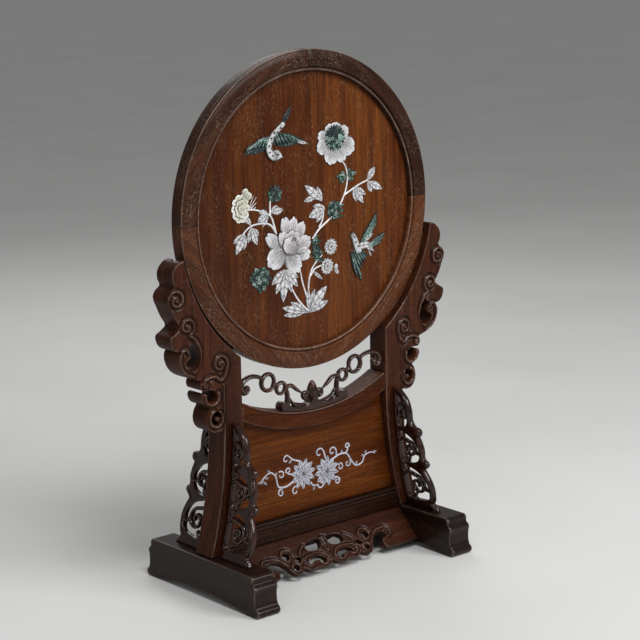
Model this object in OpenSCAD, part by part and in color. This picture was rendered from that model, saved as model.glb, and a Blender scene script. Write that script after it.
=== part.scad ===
// Round table screen that stands in a carved stand, of rosewood inlaid with shell.
// Millimetres. X runs along the screen, Y from front to back, Z up, with the ground at Z = 0.

/* [Screen] */
// Outer radius of the round frame
disc_r = 180; // [174:1:186]
// Height of the middle of the round frame above the ground
disc_z = 418; // [410:1:426]
// Thickness of the round frame, front to back
ring_t = 20; // [18:1:22]
// Width of the round frame's face
ring_face = 24; // [22:0.5:28]
// How much the round frame's face is crowned
ring_crown = 2; // [1:0.25:3]
// How far the round panel's face lies behind the frame's face
panel_sink = 8; // [6:0.5:9]
// Thickness of the round panel
panel_t = 8; // [6:0.5:9]
// How far the round panel's edge runs into the frame's groove
panel_lap = 7; // [5:0.5:8]
// Length of the loose key in each joint of the round frame
key_l = 24; // [16:1:30]
// Width of that key across the frame's face
key_w = 8; // [5:0.5:9]
// Thickness of that key, front to back
key_t = 6; // [4:0.5:8]
// Thickness of the tongue on the frame's rim that rides in the wings
tongue_t = 8; // [5:0.5:10]
// How far that tongue stands out of the rim
tongue_out = 10; // [8:0.5:12]

/* [Posts and wings] */
// Gap between the frame's rim and the hollow of the wings
wing_gap = 5; // [3:0.5:6]
// Distance of each post's middle line from the middle of the screen
post_x = 121.5; // [118:0.5:125]
// Width of a post
post_w = 27; // [25:0.5:30]
// Thickness of a post and its wing, front to back
post_t = 30; // [28:1:34]
// Height at which the posts begin to flare outwards
flare_z = 198; // [196:1:201]
// How far the posts have flared out where they meet the feet
flare = 23; // [18:0.5:26]
// Length of the tenon under a post
post_tenon_l = 26; // [16:1:32]
// Width of that tenon
post_tenon_w = 14; // [10:1:18]
// Thickness of that tenon, front to back
post_tenon_t = 18; // [12:1:22]
// Drop from the middle of the frame to the foot of the scroll on a post's outer edge
bracket_drop = 230; // [226:1:234]

/* [Rails and panels of the stand] */
// Gap between the frame's rim and the top of the curved rail
crest_gap = 49; // [47:0.5:52]
// Height of the curved rail
rail_h = 20; // [17:0.5:23]
// Thickness of both rails, front to back
rail_t = 28; // [24:1:28]
// Height of the lower rail
low_rail_h = 24; // [20:1:28]
// Length of the tenons on the rails
rail_tenon_l = 14; // [8:1:18]
// Height of the tenons on the rails
rail_tenon_h = 11; // [8:0.5:13]
// Thickness of the tenons on the rails, front to back
rail_tenon_t = 12; // [8:1:16]
// Thickness of the waist panel
waist_t = 10; // [8:0.5:12]
// How far the waist panel's edge runs into its grooves
waist_lap = 6; // [4:0.5:7]
// Thickness of the carved crest between the curved rail and the round frame
crest_t = 14; // [10:1:16]
// How far the crest stands in front of the middle of its rail
crest_forward = 6; // [4:0.5:7]
// Depth of the tenon under the crest
crest_tenon_l = 8; // [5:0.5:10]
// Width of the tenon under the crest
crest_tenon_w = 24; // [16:1:32]

/* [Aprons] */
// Thickness of the sloping aprons
apron_t = 9; // [7:0.5:11]
// Length of the aprons down their slope
apron_l = 49; // [46:0.5:52]
// How far the aprons' face starts behind the face of the posts
apron_back = 6; // [4:0.5:8]
// Length of the stub tenons that hold the aprons in the feet
apron_stub = 6; // [4:0.5:10]

/* [Feet and spandrels] */
// Length of a foot, front to back
foot_l = 206; // [200:1:214]
// Width of a foot
foot_w = 33; // [31:0.5:38]
// Height of a foot
foot_h = 46; // [44:0.5:49]
// Radius of the rolls at the ends of a foot
foot_roll = 5; // [4:0.25:6]
// Rise of the arch under a foot
foot_arch = 6; // [3:0.5:8]
// Length of that arch
foot_arch_l = 160; // [140:1:166]
// Thickness of the carved spandrels
spandrel_t = 10; // [8:0.5:13]
// Diameter of the pegs that hold the spandrels
peg_d = 4; // [3:0.25:5]
// Length of those pegs
peg_l = 15; // [12:0.5:16]

/* [Inlay] */
// Thickness of the shell inlay
shell_t = 0.9; // [0.6:0.1:1.5]
// Width of the stems in the bird and flower inlay
stem_w = 3; // [2:0.25:4]
// Width of the vines in the lotus inlay
vine_w = 2.2; // [1.5:0.1:3]

/* [Fits] */
// Clearance of glued joints
fit = 0.15; // [0.1:0.05:0.3]
// Running clearance of the rim's tongue in the grooves of the wings
run = 0.4; // [0.3:0.05:0.8]
// Gap between neighbouring pieces of shell
shell_gap = 0.4; // [0.3:0.05:0.8]

/* [Hidden] */
$fn = 72;
fine = 360;
rosewood = "#6b3a20";
dark_rosewood = "#3a2016";
golden_rosewood = "#84491f";
white_shell = "#d9dadd";
cream_shell = "#e3e2b8";
green_shell = "#2f6a5c";
bamboo = "#c9a66b";
// How far solids that grow into one piece run into each other
merge = 1;
wing_r = disc_r + wing_gap;
ring_in = disc_r - ring_face;
crown_r = (ring_face * ring_face / 4 + ring_crown * ring_crown) / (2 * ring_crown);
panel_face = ring_t / 2 - panel_sink;
key_r = (ring_in + panel_lap + disc_r) / 2;
seam_angle = asin(fit / 2 / disc_r);
tongue_from = 14;
tongue_to = 52;
tongue_root = 4;
post_in = post_x - post_w / 2;
post_out = post_x + post_w / 2;
flare_r = (pow(flare_z - foot_h, 2) + flare * flare) / (2 * flare);
wing_root = disc_z - sqrt(wing_r * wing_r - post_in * post_in);
wing_root_h = 8;
bracket_z = disc_z - bracket_drop;
rail_r = disc_r + crest_gap;
rail_end_z = disc_z - sqrt(pow(rail_r + rail_h / 2, 2) - post_in * post_in);
low_rail_top = foot_h + low_rail_h;
low_rail_z = foot_h + low_rail_h / 2;
tenon_root = 8;
tenon_web = 1.5;
waist_top = rail_end_z - rail_tenon_h / 2 - tenon_web;
// Clear height of the waist panel at its middle
waist_h = disc_z - rail_r - rail_h - low_rail_top;
// Clear height and half width of panel that the lotus scroll is drawn for, and its height in that drawing
lotus_h = 99;
lotus_side = 108;
lotus_high = 43;
lotus_r = 17.5 * post_in / lotus_side;
foot_in = post_in + flare;
foot_x = foot_in + foot_w / 2;
arch_r = (foot_arch_l * foot_arch_l / 4 + foot_arch * foot_arch) / (2 * foot_arch);
foot_round = 4;
// Shape of a foot's end: bevel under the upper roll, then radius, depth and height of its hollow
end_bevel = 3;
hollow_r = 28;
hollow_depth = 1.5;
hollow_z = 20;
apron_slope = 45;
// Stub tenons of the aprons: thickness, width, and how far down the slope they end
stub_t = 4.5;
stub_w = 24;
stub_low = 37;
peg_post_z = foot_h + 98;
peg_foot_d = 26;

// Outer edge of a wing, from its tip down to the post: degrees below the middle
// of the frame and the distance outside the hollow
wing_edge = [
    [10.3, 0], [10.7, 8.5], [12.6, 17.5], [15.2, 20.5], [17.3, 20], [18.2, 26.5], [20, 33], [23, 33],
    [26, 33], [29, 32.5], [29.5, 40], [29.7, 49], [32, 52.5], [34, 50], [34.7, 45], [35.5, 51],
    [37.5, 56.5], [40, 58.5], [42.5, 56.5], [45, 51], [47.5, 44]
];
// Inner points of a wing, which the hollow trims
wing_inside = [[52, 30], [52, -8], [40, -8], [30, -8], [20, -8], [11, -6]];
// Pierced opening in a wing, given in the same way
wing_eye = [[36, 28], [36, 37.5], [38.2, 39.5], [38.6, 50], [41, 51], [42.5, 43], [41.4, 33], [38.5, 27]];
// Scroll on a post's outer edge: distance from that edge and height above the scroll's foot
bracket_edge = [
    [-6, 66], [8, 67], [17, 66.5], [25, 64], [30, 58], [28.5, 51], [28, 43], [23, 34.5], [16, 30],
    [20, 25], [22, 17], [21, 9], [15, 2], [7, 0], [0, 3], [-6, 5]
];
// Openings in that scroll: place and radius
bracket_eyes = [[[15.5, 45.5], 7], [[8.5, 17], 6]];
// Carved edge of a spandrel: distance from the post's face and height above the foot
spandrel_edge = [
    [-6, 152], [2, 149], [11, 145], [20, 137], [26, 123], [27, 108], [33, 104.5], [40, 103], [41.5, 97.5],
    [37, 93.5], [35, 90], [40, 85], [42.5, 76], [42, 66], [46, 64], [48.5, 59.5], [45, 55], [40, 52],
    [43.5, 46], [48, 37], [50, 26], [48, 14], [44, 8], [48, 5], [52, 1], [51, -6], [-6, -6]
];
// Openings in a spandrel, given in the same way
spandrel_eyes = [
    [[6, 107], [14, 106], [19, 114], [18, 125], [10, 135], [5, 128]],
    [[7, 57], [22, 60], [34, 67], [33, 78], [24, 87], [8, 90]],
    [[7, 13], [26, 11], [40, 18], [41, 33], [31, 45], [9, 49]]
];
// Curls inside the lower openings of a spandrel: place and outer radius
spandrel_curls = [[[19, 66], 10], [[22, 25], 15]];
curl_w = 5;
// Base of the crest: height above the rail and reach to each side of the middle along the rail
crest_base_h = 9.5;
crest_base_l = 46;
// Balls of the crest: place along the rail from the middle, height above the rail and radius
crest_balls = [[0, 14, 8], [0, 24, 7.5], [11, 16.5, 5.5], [crest_base_l, 6, 5.5]];
// Necks of the crest, from the base to its first curls: place and height of their ends
crest_neck = [[38, 4], [38.5, crest_gap - 28]];
crest_neck_w = 7;
// Curls of the crest, given as the balls are, with the width of their band
crest_curls = [[50, crest_gap - 23, 10.5, 4.5], [75.5, crest_gap - 20.5, 13.5, 5.5]];
// Bands of the crest that run from its second curls to its ends: first place and heights
crest_band_from = 86;
crest_band = [crest_gap - 21.5, crest_gap - 15.5];
// Curls at the ends of the crest, which lie against the posts: radius, height and band
crest_end_r = 10;
crest_end_high = crest_gap - 26;
crest_end_w = 5.5;
crest_end = rail_r * asin((post_in - crest_end_r - fit) / (rail_r - crest_end_high)) * PI / 180;
// Openings of an apron on one side: across from the middle, down the slope, and radius
apron_eyes = [[13, 38, 5.5], [32, 39, 4.5], [60, 25, 5.5], [45, 30, 3.5], [53, 41, 4]];
apron_window = [[6, -14], [16, -11.5], [28, -17], [27, -24], [16, -27], [8, -23]];
apron_inlet = [[63, -56], [68, -43], [75, -33], [83, -30], [85, -34], [79, -39], [77, -45], [80, -56]];
// Hollows in an apron's lower edge: across from the middle, below the edge, and radius
apron_scallops = [[0, 1, 4], [43, 2, 5]];

// A smooth curve through points: closed all the way round, or open from the first to the last
function between(a, b, c, d, t) =
    (2 * b + (c - a) * t + (2 * a - 5 * b + 4 * c - d) * t * t + (3 * b - a - 3 * c + d) * t * t * t) / 2;
function ring_curve(p, steps = 4) =
    let (n = len(p))
    [for (i = [0 : n - 1]) for (k = [0 : steps - 1])
        between(p[(i + n - 1) % n], p[i], p[(i + 1) % n], p[(i + 2) % n], k / steps)];
function open_curve(p, steps = 5) =
    let (n = len(p))
    [for (i = [0 : n - 2]) for (k = [0 : i == n - 2 ? steps : steps - 1])
        between(p[max(i - 1, 0)], p[i], p[i + 1], p[min(i + 2, n - 1)], k / steps)];

// A spiral path that winds in from its outer end
function spiral(place, r, from, turn, steps = 14, draw = 0.65) =
    [for (k = [0 : steps])
        let (t = k / steps, a = from + turn * t)
        place + r * (1 - draw * t) * [cos(a), sin(a)]];

// The middle line of a flared post at a height
function flare_x(z) = post_x + flare_r - sqrt(flare_r * flare_r - pow(max(flare_z - z, 0), 2));

// A place on the wings: degrees below the middle of the frame and distance outside the hollow
function on_wing(p) = (wing_r + p[1]) * [cos(p[0]), -sin(p[0])] + [0, disc_z];

// A place in the lotus scroll, spread over the waist panel: across from the middle and above the flowers
function on_lotus(p) = [p[0] * post_in / lotus_side, (lotus_high + p[1]) * waist_h / lotus_h];

// A place above the curved rail: way along the rail's top from its middle, and height above it
function rail_angle(along) = along / rail_r * 180 / PI;
function on_crest(along, high) =
    let (a = rail_angle(along))
    (rail_r - high) * [sin(a), -cos(a)] + [0, disc_z];

module both_sides() {
    children();
    mirror([1, 0, 0]) children();
}

module front_and_back() {
    children();
    mirror([0, 1, 0]) children();
}

// A flat outline in X and Z, made into a board about the middle plane
module board(thick) {
    rotate([90, 0, 0]) linear_extrude(thick, center = true) children();
}

// A ribbon of even width along a path
module ribbon(path, wide) {
    n = len(path) - 1;
    sides = [for (i = [0 : n])
        let (d = path[min(i + 1, n)] - path[max(i - 1, 0)], m = wide / 2 / norm(d))
        [-d[1] * m, d[0] * m]];
    polygon(concat(
        [for (i = [0 : n]) path[i] + sides[i]],
        [for (i = [n : -1 : 0]) path[i] - sides[i]]
    ));
}

// Part of a flat ring about the middle of the frame, between two angles from straight down
module arc_band(inner, outer, from, to) {
    far = outer * 2;
    translate([0, disc_z]) intersection() {
        difference() {
            circle(outer, $fn = fine);
            circle(inner, $fn = fine);
        }
        polygon([[0, 0], far * [sin(from), -cos(from)], far * [sin(to), -cos(to)]]);
    }
}

// A curl with a hole in its middle
module curl(place, r, wide) {
    translate(place) difference() {
        circle(r);
        circle(r - wide);
    }
}

// FEET

module foot_side() {
    end = foot_l / 2 - foot_roll;
    step = end - 2 * foot_roll + merge;
    neck_z = foot_h - 2 * foot_roll + merge;
    root = step - merge;
    difference() {
        union() {
            translate([-step, 0]) square([2 * step, foot_h]);
            both_sides() {
                polygon([
                    [root, 0], [end, 0], [end, neck_z - end_bevel], [end - end_bevel, neck_z], [root, neck_z]
                ]);
                translate([step, foot_h - foot_roll]) circle(foot_roll);
                translate([end, foot_roll]) circle(foot_roll);
            }
        }
        both_sides() translate([end + hollow_r - hollow_depth, hollow_z]) circle(hollow_r);
        translate([0, foot_arch - arch_r]) circle(arch_r, $fn = fine);
    }
}

module foot_section() {
    translate([foot_in, -merge]) square([foot_w, foot_h + merge - foot_round]);
    translate([foot_in + foot_round, 0]) square([foot_w - 2 * foot_round, foot_h]);
    for (x = [foot_in + foot_round, foot_in + foot_w - foot_round]) {
        translate([x, foot_h - foot_round]) circle(foot_round);
    }
}

module foot() {
    difference() {
        intersection() {
            board(foot_l * 2) foot_section();
            translate([foot_in, 0, 0]) rotate([90, 0, 90]) linear_extrude(foot_w) foot_side();
        }
        post_tenon(fit);
        front_and_back() {
            apron_stubs(fit);
            foot_peg(fit);
        }
    }
}

module foot_left() {
    color(dark_rosewood) mirror([1, 0, 0]) foot();
}

module foot_right() {
    color(dark_rosewood) foot();
}

// POSTS WITH THEIR WINGS

module post_band(wide) {
    translate([post_x - wide / 2, flare_z]) square([wide, wing_root - flare_z]);
    intersection() {
        translate([post_x + flare_r, flare_z]) difference() {
            circle(flare_r + wide / 2, $fn = fine);
            circle(flare_r - wide / 2, $fn = fine);
        }
        translate([post_x - wide, foot_h + fit]) square([wide * 2 + flare, flare_z - foot_h]);
    }
}

module post_outline() {
    difference() {
        union() {
            post_band(post_w);
            translate([post_in, wing_root - merge]) square([post_w, wing_root_h]);
            polygon(ring_curve([for (p = concat(wing_edge, wing_inside)) on_wing(p)]));
            translate([post_out, bracket_z]) difference() {
                polygon(ring_curve(bracket_edge));
                for (eye = bracket_eyes) translate(eye[0]) circle(eye[1]);
            }
        }
        translate([0, disc_z]) circle(wing_r, $fn = fine);
        polygon(ring_curve([for (p = wing_eye) on_wing(p)]));
    }
}

// Tenon under a post, or with a clearance its mortise in the foot
module post_tenon(room) {
    size = [post_tenon_w + 2 * room, post_tenon_t + 2 * room, post_tenon_l + room + merge];
    translate([post_x + flare - size[0] / 2, -size[1] / 2, foot_h - post_tenon_l - room]) cube(size);
}

module post() {
    difference() {
        union() {
            board(post_t) post_outline();
            post_tenon(0);
        }
        translate([0, 0, disc_z]) rotate([90, 0, 0]) rotate_extrude($fn = fine)
            translate([disc_r, -tongue_t / 2 - run]) square([tongue_out + run, tongue_t + 2 * run]);
        rail_tenon(rail_end_z, fit);
        rail_tenon(low_rail_z, fit);
        board(waist_t + 2 * fit) waist_outline(waist_lap + fit);
        front_and_back() post_peg(fit);
    }
}

module post_left() {
    color(rosewood) mirror([1, 0, 0]) post();
}

module post_right() {
    color(rosewood) post();
}

// RAILS AND WAIST PANEL

// Tenon of a rail in the right-hand post at a height, or with a clearance its mortise
module rail_tenon(z, room) {
    tip = flare_x(z) - post_w / 2 + rail_tenon_l + room;
    size = [tip - post_in + tenon_root, rail_tenon_t + 2 * room, rail_tenon_h + 2 * room];
    translate([post_in - tenon_root, -size[1] / 2, z - size[2] / 2]) cube(size);
}

// Everything between the two posts, its sides a given way into their inner faces
module post_gap(into) {
    wide = 2 * (foot_in + into);
    difference() {
        translate([-wide / 2, 0]) square([wide, wing_root]);
        both_sides() {
            translate([post_in + into, flare_z]) square([wide, wing_root]);
            intersection() {
                translate([post_x + flare_r, flare_z]) circle(flare_r + post_w / 2 - into, $fn = fine);
                square([wide, flare_z]);
            }
        }
    }
}

module lower_rail() {
    color(rosewood) difference() {
        union() {
            board(rail_t) intersection() {
                post_gap(-fit);
                translate([-foot_in, foot_h]) square([2 * foot_in, low_rail_h]);
            }
            both_sides() rail_tenon(low_rail_z, 0);
        }
        board(waist_t + 2 * fit) waist_outline(waist_lap + fit);
    }
}

module curved_rail() {
    color(golden_rosewood) difference() {
        union() {
            board(rail_t) intersection() {
                post_gap(-fit);
                arc_band(rail_r, rail_r + rail_h, -45, 45);
            }
            both_sides() rail_tenon(rail_end_z, 0);
        }
        board(waist_t + 2 * fit) waist_outline(waist_lap + fit);
        crest_tenon(fit);
    }
}

// Outline of the waist panel, its edges a given way into the grooves around it
module waist_outline(lap) {
    side = foot_in + lap;
    bottom = low_rail_top - lap;
    top = waist_top + lap - waist_lap;
    intersection() {
        post_gap(lap);
        difference() {
            translate([-side, bottom]) square([2 * side, top - bottom]);
            translate([0, disc_z]) circle(rail_r + rail_h - lap, $fn = fine);
        }
    }
}

module waist_panel() {
    color(golden_rosewood) board(waist_t) waist_outline(waist_lap);
}

// CREST

module crest_outline() {
    base = rail_angle(crest_base_l);
    band_from = rail_angle(crest_band_from);
    band_to = rail_angle(crest_end - 2);
    arc_band(rail_r - crest_base_h, rail_r - fit, -base, base);
    both_sides() {
        for (ball = crest_balls) translate(on_crest(ball[0], ball[1])) circle(ball[2]);
        ribbon([for (end = crest_neck) on_crest(end[0], end[1])], crest_neck_w);
        for (c = crest_curls) curl(on_crest(c[0], c[1]), c[2], c[3]);
        arc_band(rail_r - crest_band[1], rail_r - crest_band[0], band_from, band_to);
        curl(on_crest(crest_end, crest_end_high), crest_end_r, crest_end_w);
    }
}

// Tenon under the crest, or with a clearance its mortise in the curved rail
module crest_tenon(room) {
    size = [crest_tenon_w + 2 * room, crest_t / 2 + 2 * room, crest_tenon_l + crest_base_h / 2 + room];
    translate([-size[0] / 2, -crest_forward - size[1] / 2, disc_z - rail_r - crest_tenon_l - room]) cube(size);
}

module crest_scroll() {
    color(dark_rosewood) union() {
        translate([0, -crest_forward, 0]) board(crest_t) crest_outline();
        crest_tenon(0);
    }
}

// APRONS

// Puts an outline that runs down the slope from the lower rail in its place on the front
module on_slope(thick, sink = 0) {
    translate([0, apron_back - post_t / 2, foot_h]) rotate([apron_slope, 0, 0])
        translate([0, 0, -sink - thick]) linear_extrude(thick) children();
}

module apron_outline() {
    end = foot_in - fit;
    difference() {
        translate([-end, -apron_l]) square([2 * end, apron_l + 2 * apron_t]);
        both_sides() {
            polygon(ring_curve(apron_window));
            polygon(ring_curve(apron_inlet));
            for (eye = apron_eyes) translate([eye[0], -eye[1]]) circle(eye[2]);
            for (hollow = apron_scallops) translate([hollow[0], -apron_l - hollow[1]]) circle(hollow[2]);
        }
    }
}

// Stub tenon of the front apron on the right, or with a clearance its mortise in the foot
module apron_stubs(room) {
    on_slope(stub_t + 2 * room, (apron_t - stub_t) / 2 - room)
        translate([foot_in - tenon_root, -stub_low - room])
            square([apron_stub + tenon_root + room, stub_w + 2 * room]);
}

module apron() {
    intersection() {
        union() {
            on_slope(apron_t) apron_outline();
            both_sides() apron_stubs(0);
        }
        translate([-foot_x, -foot_l - fit, 0]) cube([2 * foot_x, foot_l, foot_h - fit]);
    }
}

module apron_front() {
    color(rosewood) apron();
}

module apron_back_side() {
    color(rosewood) mirror([0, 1, 0]) apron();
}

// SPANDRELS

// Peg between the right front spandrel and its post, or with a clearance its bore
module post_peg(room) {
    translate([flare_x(peg_post_z), -post_t / 2, peg_post_z]) rotate([90, 0, 0])
        cylinder(h = peg_l + 2 * room, d = peg_d + 2 * room, center = true);
}

// Peg between the right front spandrel and its foot, or with a clearance its bore
module foot_peg(room) {
    translate([flare_x(foot_h), -post_t / 2 - peg_foot_d, foot_h])
        cylinder(h = peg_l + 2 * room, d = peg_d + 2 * room, center = true);
}

module spandrel_outline() {
    intersection() {
        difference() {
            polygon(ring_curve(spandrel_edge));
            for (eye = spandrel_eyes) difference() {
                polygon(ring_curve(eye));
                for (c = spandrel_curls) curl(c[0], c[1], curl_w);
            }
        }
        translate([fit, fit]) square(foot_l);
    }
}

module spandrel() {
    difference() {
        intersection() {
            translate([0, -post_t / 2, foot_h]) rotate([90, 0, -90])
                linear_extrude(foot_l * 4, center = true) spandrel_outline();
            board(foot_l * 2) post_band(spandrel_t);
        }
        post_peg(fit);
        foot_peg(fit);
    }
}

module spandrel_front_left() {
    color(dark_rosewood) mirror([1, 0, 0]) spandrel();
}

module spandrel_front_right() {
    color(dark_rosewood) spandrel();
}

module spandrel_back_left() {
    color(dark_rosewood) mirror([1, 0, 0]) mirror([0, 1, 0]) spandrel();
}

module spandrel_back_right() {
    color(dark_rosewood) mirror([0, 1, 0]) spandrel();
}

module spandrel_pegs() {
    color(bamboo) both_sides() front_and_back() {
        post_peg(0);
        foot_peg(0);
    }
}

// ROUND FRAME

// Section of the frame: distance from the middle, and forward
module ring_profile() {
    difference() {
        union() {
            translate([ring_in, -ring_t / 2]) square([ring_face, ring_t - ring_crown]);
            intersection() {
                translate([ring_in + ring_face / 2, ring_t / 2 - crown_r]) circle(crown_r, $fn = fine);
                translate([ring_in, 0]) square([ring_face, ring_t / 2]);
            }
        }
        translate([ring_in - merge, panel_face - panel_t - fit])
            square([panel_lap + fit + merge, panel_t + 2 * fit]);
    }
}

// Loose key across the joint at the right-hand end, or with a clearance its pocket
module ring_key(room) {
    size = [key_w + 2 * room, key_l + 2 * room, key_t + 2 * room];
    translate([key_r, 0, 0]) cube(size, center = true);
}

// Puts what is drawn flat about the frame's own axis in its upright place
module on_frame() {
    translate([0, 0, disc_z]) rotate([90, 0, 0]) children();
}

module ring_segment(quarter) {
    on_frame() difference() {
        union() {
            rotate([0, 0, 90 * quarter + seam_angle])
                rotate_extrude(angle = 90 - 2 * seam_angle, $fn = fine) ring_profile();
            if (quarter > 1) {
                rotate([0, 0, quarter == 2 ? 180 + tongue_from : -tongue_to])
                    rotate_extrude(angle = tongue_to - tongue_from, $fn = fine)
                        translate([disc_r - tongue_root, -tongue_t / 2])
                            square([tongue_out + tongue_root, tongue_t]);
            }
        }
        for (joint = [quarter, quarter + 1]) rotate([0, 0, 90 * joint]) ring_key(fit);
    }
}

module ring_upper_right() {
    color(dark_rosewood) ring_segment(0);
}

module ring_upper_left() {
    color(rosewood) ring_segment(1);
}

module ring_lower_left() {
    color(rosewood) ring_segment(2);
}

module ring_lower_right() {
    color(golden_rosewood) ring_segment(3);
}

module ring_keys() {
    color(bamboo) on_frame() for (joint = [0 : 3]) rotate([0, 0, 90 * joint]) ring_key(0);
}

module round_panel() {
    color(rosewood) on_frame()
        translate([0, 0, panel_face - panel_t]) cylinder(h = panel_t, r = ring_in + panel_lap, $fn = fine);
}

// SHELL INLAY

// A leaf or petal along X; a fullness above 1 moves its widest place outwards
module leaf(long, wide, full = 1, room = 0) {
    n = 8;
    edge = [for (k = [0 : n]) let (t = k / n)
        [long * t + room * (2 * t - 1), (wide / 2 + room) * sin(180 * pow(t, full))]];
    polygon(concat(edge, [for (k = [n - 1 : -1 : 1]) [edge[k][0], -edge[k][1]]]));
}

// A leaf set at a place and turned to an angle
module leaf_at(place, angle, long, wide, full = 1, room = 0) {
    translate(place) rotate(angle) leaf(long, wide, full, room);
}

// A flower in one piece, its edge drawn in by a notch between each two petals
module flower(place, count, r, notch, turn = 0, room = 0) {
    n = 10 * count;
    translate(place) polygon([for (k = [0 : n - 1])
        let (a = 360 * k / n, reach = r + room - notch * pow(abs(cos(count * a / 2)), 3))
        reach * [cos(a + turn), sin(a + turn)]]);
}

// A piece of shell on the face of the round panel
module on_panel() {
    on_frame() translate([0, 0, panel_face]) linear_extrude(shell_t) children();
}

module peony_outline(room = 0) {
    flower([-34, -36], 6, 29, 5, 100, room);
    flower([-9, -43], 5, 24, 4, 40, room);
    translate([-20, -27]) circle(22 + room);
}

module poppy_heart_outline(room = 0) {
    translate([43, 77]) circle(14 + room);
}

module poppy_outline(room = 0) {
    flower([45, 71], 7, 29, 6, 12, room);
}

module chrysanthemum_outline(room = 0) {
    for (k = [0 : 7]) translate([-93, 13] + [9 * cos(45 * k), 11.5 * sin(45 * k)]) circle(6 + room);
    translate([-93, 13]) circle(9 + room);
    translate([-84, 27]) circle(6 + room);
}

module daisies_outline(room = 0) {
    flower([35, -46], 9, 10, 3, 0, room);
    flower([29, -68], 9, 11, 3, 20, room);
    leaf_at([41, -73], -30, 9, 6, 1.4, room);
}

module green_outline(room = 0) {
    flower([-46, 24], 5, 10, 3, 90, room);
    flower([41, -4], 5, 12, 3, 70, room);
    flower([-71, -65], 5, 13, 4, 20, room);
    flower([-58, -76], 5, 9, 3, 50, room);
    leaf_at([59, 31], 180, 16, 12, 1.2, room);
    leaf_at([62, 32], 10, 14, 11, 1.2, room);
    leaf_at([9, -41], -15, 12, 10, 1, room);
    leaf_at([8, -52], 0, 18, 15, 1, room);
}

module white_leaves_outline(room = 0) {
    leaf_at([72, 19], -55, 24, 15, 1, room);
    leaf_at([92, 23], 55, 17, 10, 1.2, room);
    leaf_at([93, 22], -22, 25, 14, 1, room);
    leaf_at([23, 6], 140, 35, 13, 1, room);
    leaf_at([26, -2], 195, 27, 15, 1, room);
    leaf_at([-52, 3], 10, 19, 9, 1, room);
    leaf_at([-56, 1], 205, 18, 14, 1.2, room);
    leaf_at([-82, -12], -70, 22, 12, 1.1, room);
    leaf_at([-91, -16], -125, 26, 14, 1.1, room);
    leaf_at([-88, 3], -65, 14, 9, 1, room);
    leaf_at([-33, -64], 215, 26, 15, 1, room);
    leaf_at([-33, -64], 260, 38, 16, 1.1, room);
    leaf_at([-32, -64], 300, 30, 16, 1.1, room);
    leaf_at([0, -118], 165, 42, 13, 1.2, room);
    leaf_at([0, -116], 35, 38, 13, 1.2, room);
    leaf_at([0, -118], 20, 30, 11, 1.2, room);
    leaf_at([0, -116], 80, 30, 9, 1, room);
    leaf_at([5, -69], -35, 20, 6, 1.2, room);
}

module stems_outline() {
    stems = [
        [[53, 48], [60, 44], [62, 30], [58, 14], [48, -2], [34, -14], [18, -24], [8, -34]],
        [[56, 11], [68, 16], [80, 21], [94, 25]],
        [[18, -22], [24, -12], [25, 2]],
        [[-88, 8], [-74, 8], [-60, 3], [-52, -2], [-47, -14]],
        [[-52, 22], [-53, 12], [-53, 0]],
        [[-92, -17], [-82, -10], [-70, -8], [-58, -9], [-48, -15]],
        [[-28, -62], [-25, -84], [-14, -102], [0, -116]],
        [[-12, -66], [-8, -82], [-2, -100], [0, -116]],
        [[22, -60], [8, -66], [2, -80], [0, -100], [0, -116]],
        [[24, -63], [10, -69], [4, -76]]
    ];
    for (path = stems) ribbon(open_curve(path), stem_w);
}

module bird_bodies_outline(room = 0) {
    ribbon(open_curve([[-34, 97], [-46, 88], [-50, 76], [-45, 67], [-36, 64]]), 8.5 + 2 * room);
    translate([-42, 68]) circle(6.5 + room);
    leaf_at([66, -31], -60, 32, 15, 1.1, room);
    leaf_at([80, -52], 25, 24, 12, 1, room);
    leaf_at([86, -56], -15, 16, 10, 1, room);
}

module bird_wings_outline() {
    leaf_at([-50, 82], 200, 42, 15, 0.9);
    leaf_at([-48, 82], -8, 50, 17, 0.8);
    leaf_at([-34, 97], 52, 24, 6, 1);
    leaf_at([84, -44], 48, 46, 10, 0.9);
    leaf_at([90, -46], 20, 38, 8, 0.9);
    leaf_at([76, -48], 265, 44, 17, 0.8);
}

module inlay_peony() {
    color(white_shell) on_panel() peony_outline();
}

module inlay_poppy() {
    color(white_shell) on_panel() difference() {
        poppy_outline();
        poppy_heart_outline(shell_gap);
    }
}

module inlay_poppy_heart() {
    color(green_shell) on_panel() poppy_heart_outline();
}

module inlay_chrysanthemum() {
    color(cream_shell) on_panel() chrysanthemum_outline();
}

module inlay_daisies() {
    color(white_shell) on_panel() daisies_outline();
}

module inlay_green_leaves() {
    color(green_shell) on_panel() difference() {
        green_outline();
        peony_outline(shell_gap);
    }
}

module inlay_white_leaves() {
    color(white_shell) on_panel() difference() {
        white_leaves_outline();
        peony_outline(shell_gap);
        green_outline(shell_gap);
        chrysanthemum_outline(shell_gap);
    }
}

module inlay_stems() {
    color(white_shell) on_panel() difference() {
        stems_outline();
        peony_outline(shell_gap);
        poppy_outline(shell_gap);
        daisies_outline(shell_gap);
        green_outline(shell_gap);
        chrysanthemum_outline(shell_gap);
        white_leaves_outline(shell_gap);
    }
}

module inlay_bird_bodies() {
    color(white_shell) on_panel() bird_bodies_outline();
}

module inlay_bird_wings() {
    color(green_shell) on_panel() difference() {
        bird_wings_outline();
        bird_bodies_outline(shell_gap);
    }
}

// A piece of shell on the face of the waist panel, drawn from the lower rail upwards
module on_waist() {
    rotate([90, 0, 0]) translate([0, low_rail_top, waist_t / 2]) linear_extrude(shell_t) children();
}

module lotus_flowers_outline(room = 0) {
    flower(on_lotus([-15, 0]), 11, lotus_r, 7, 8, room);
    flower(on_lotus([21, -4]), 11, lotus_r, 7, 20, room);
}

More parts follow.
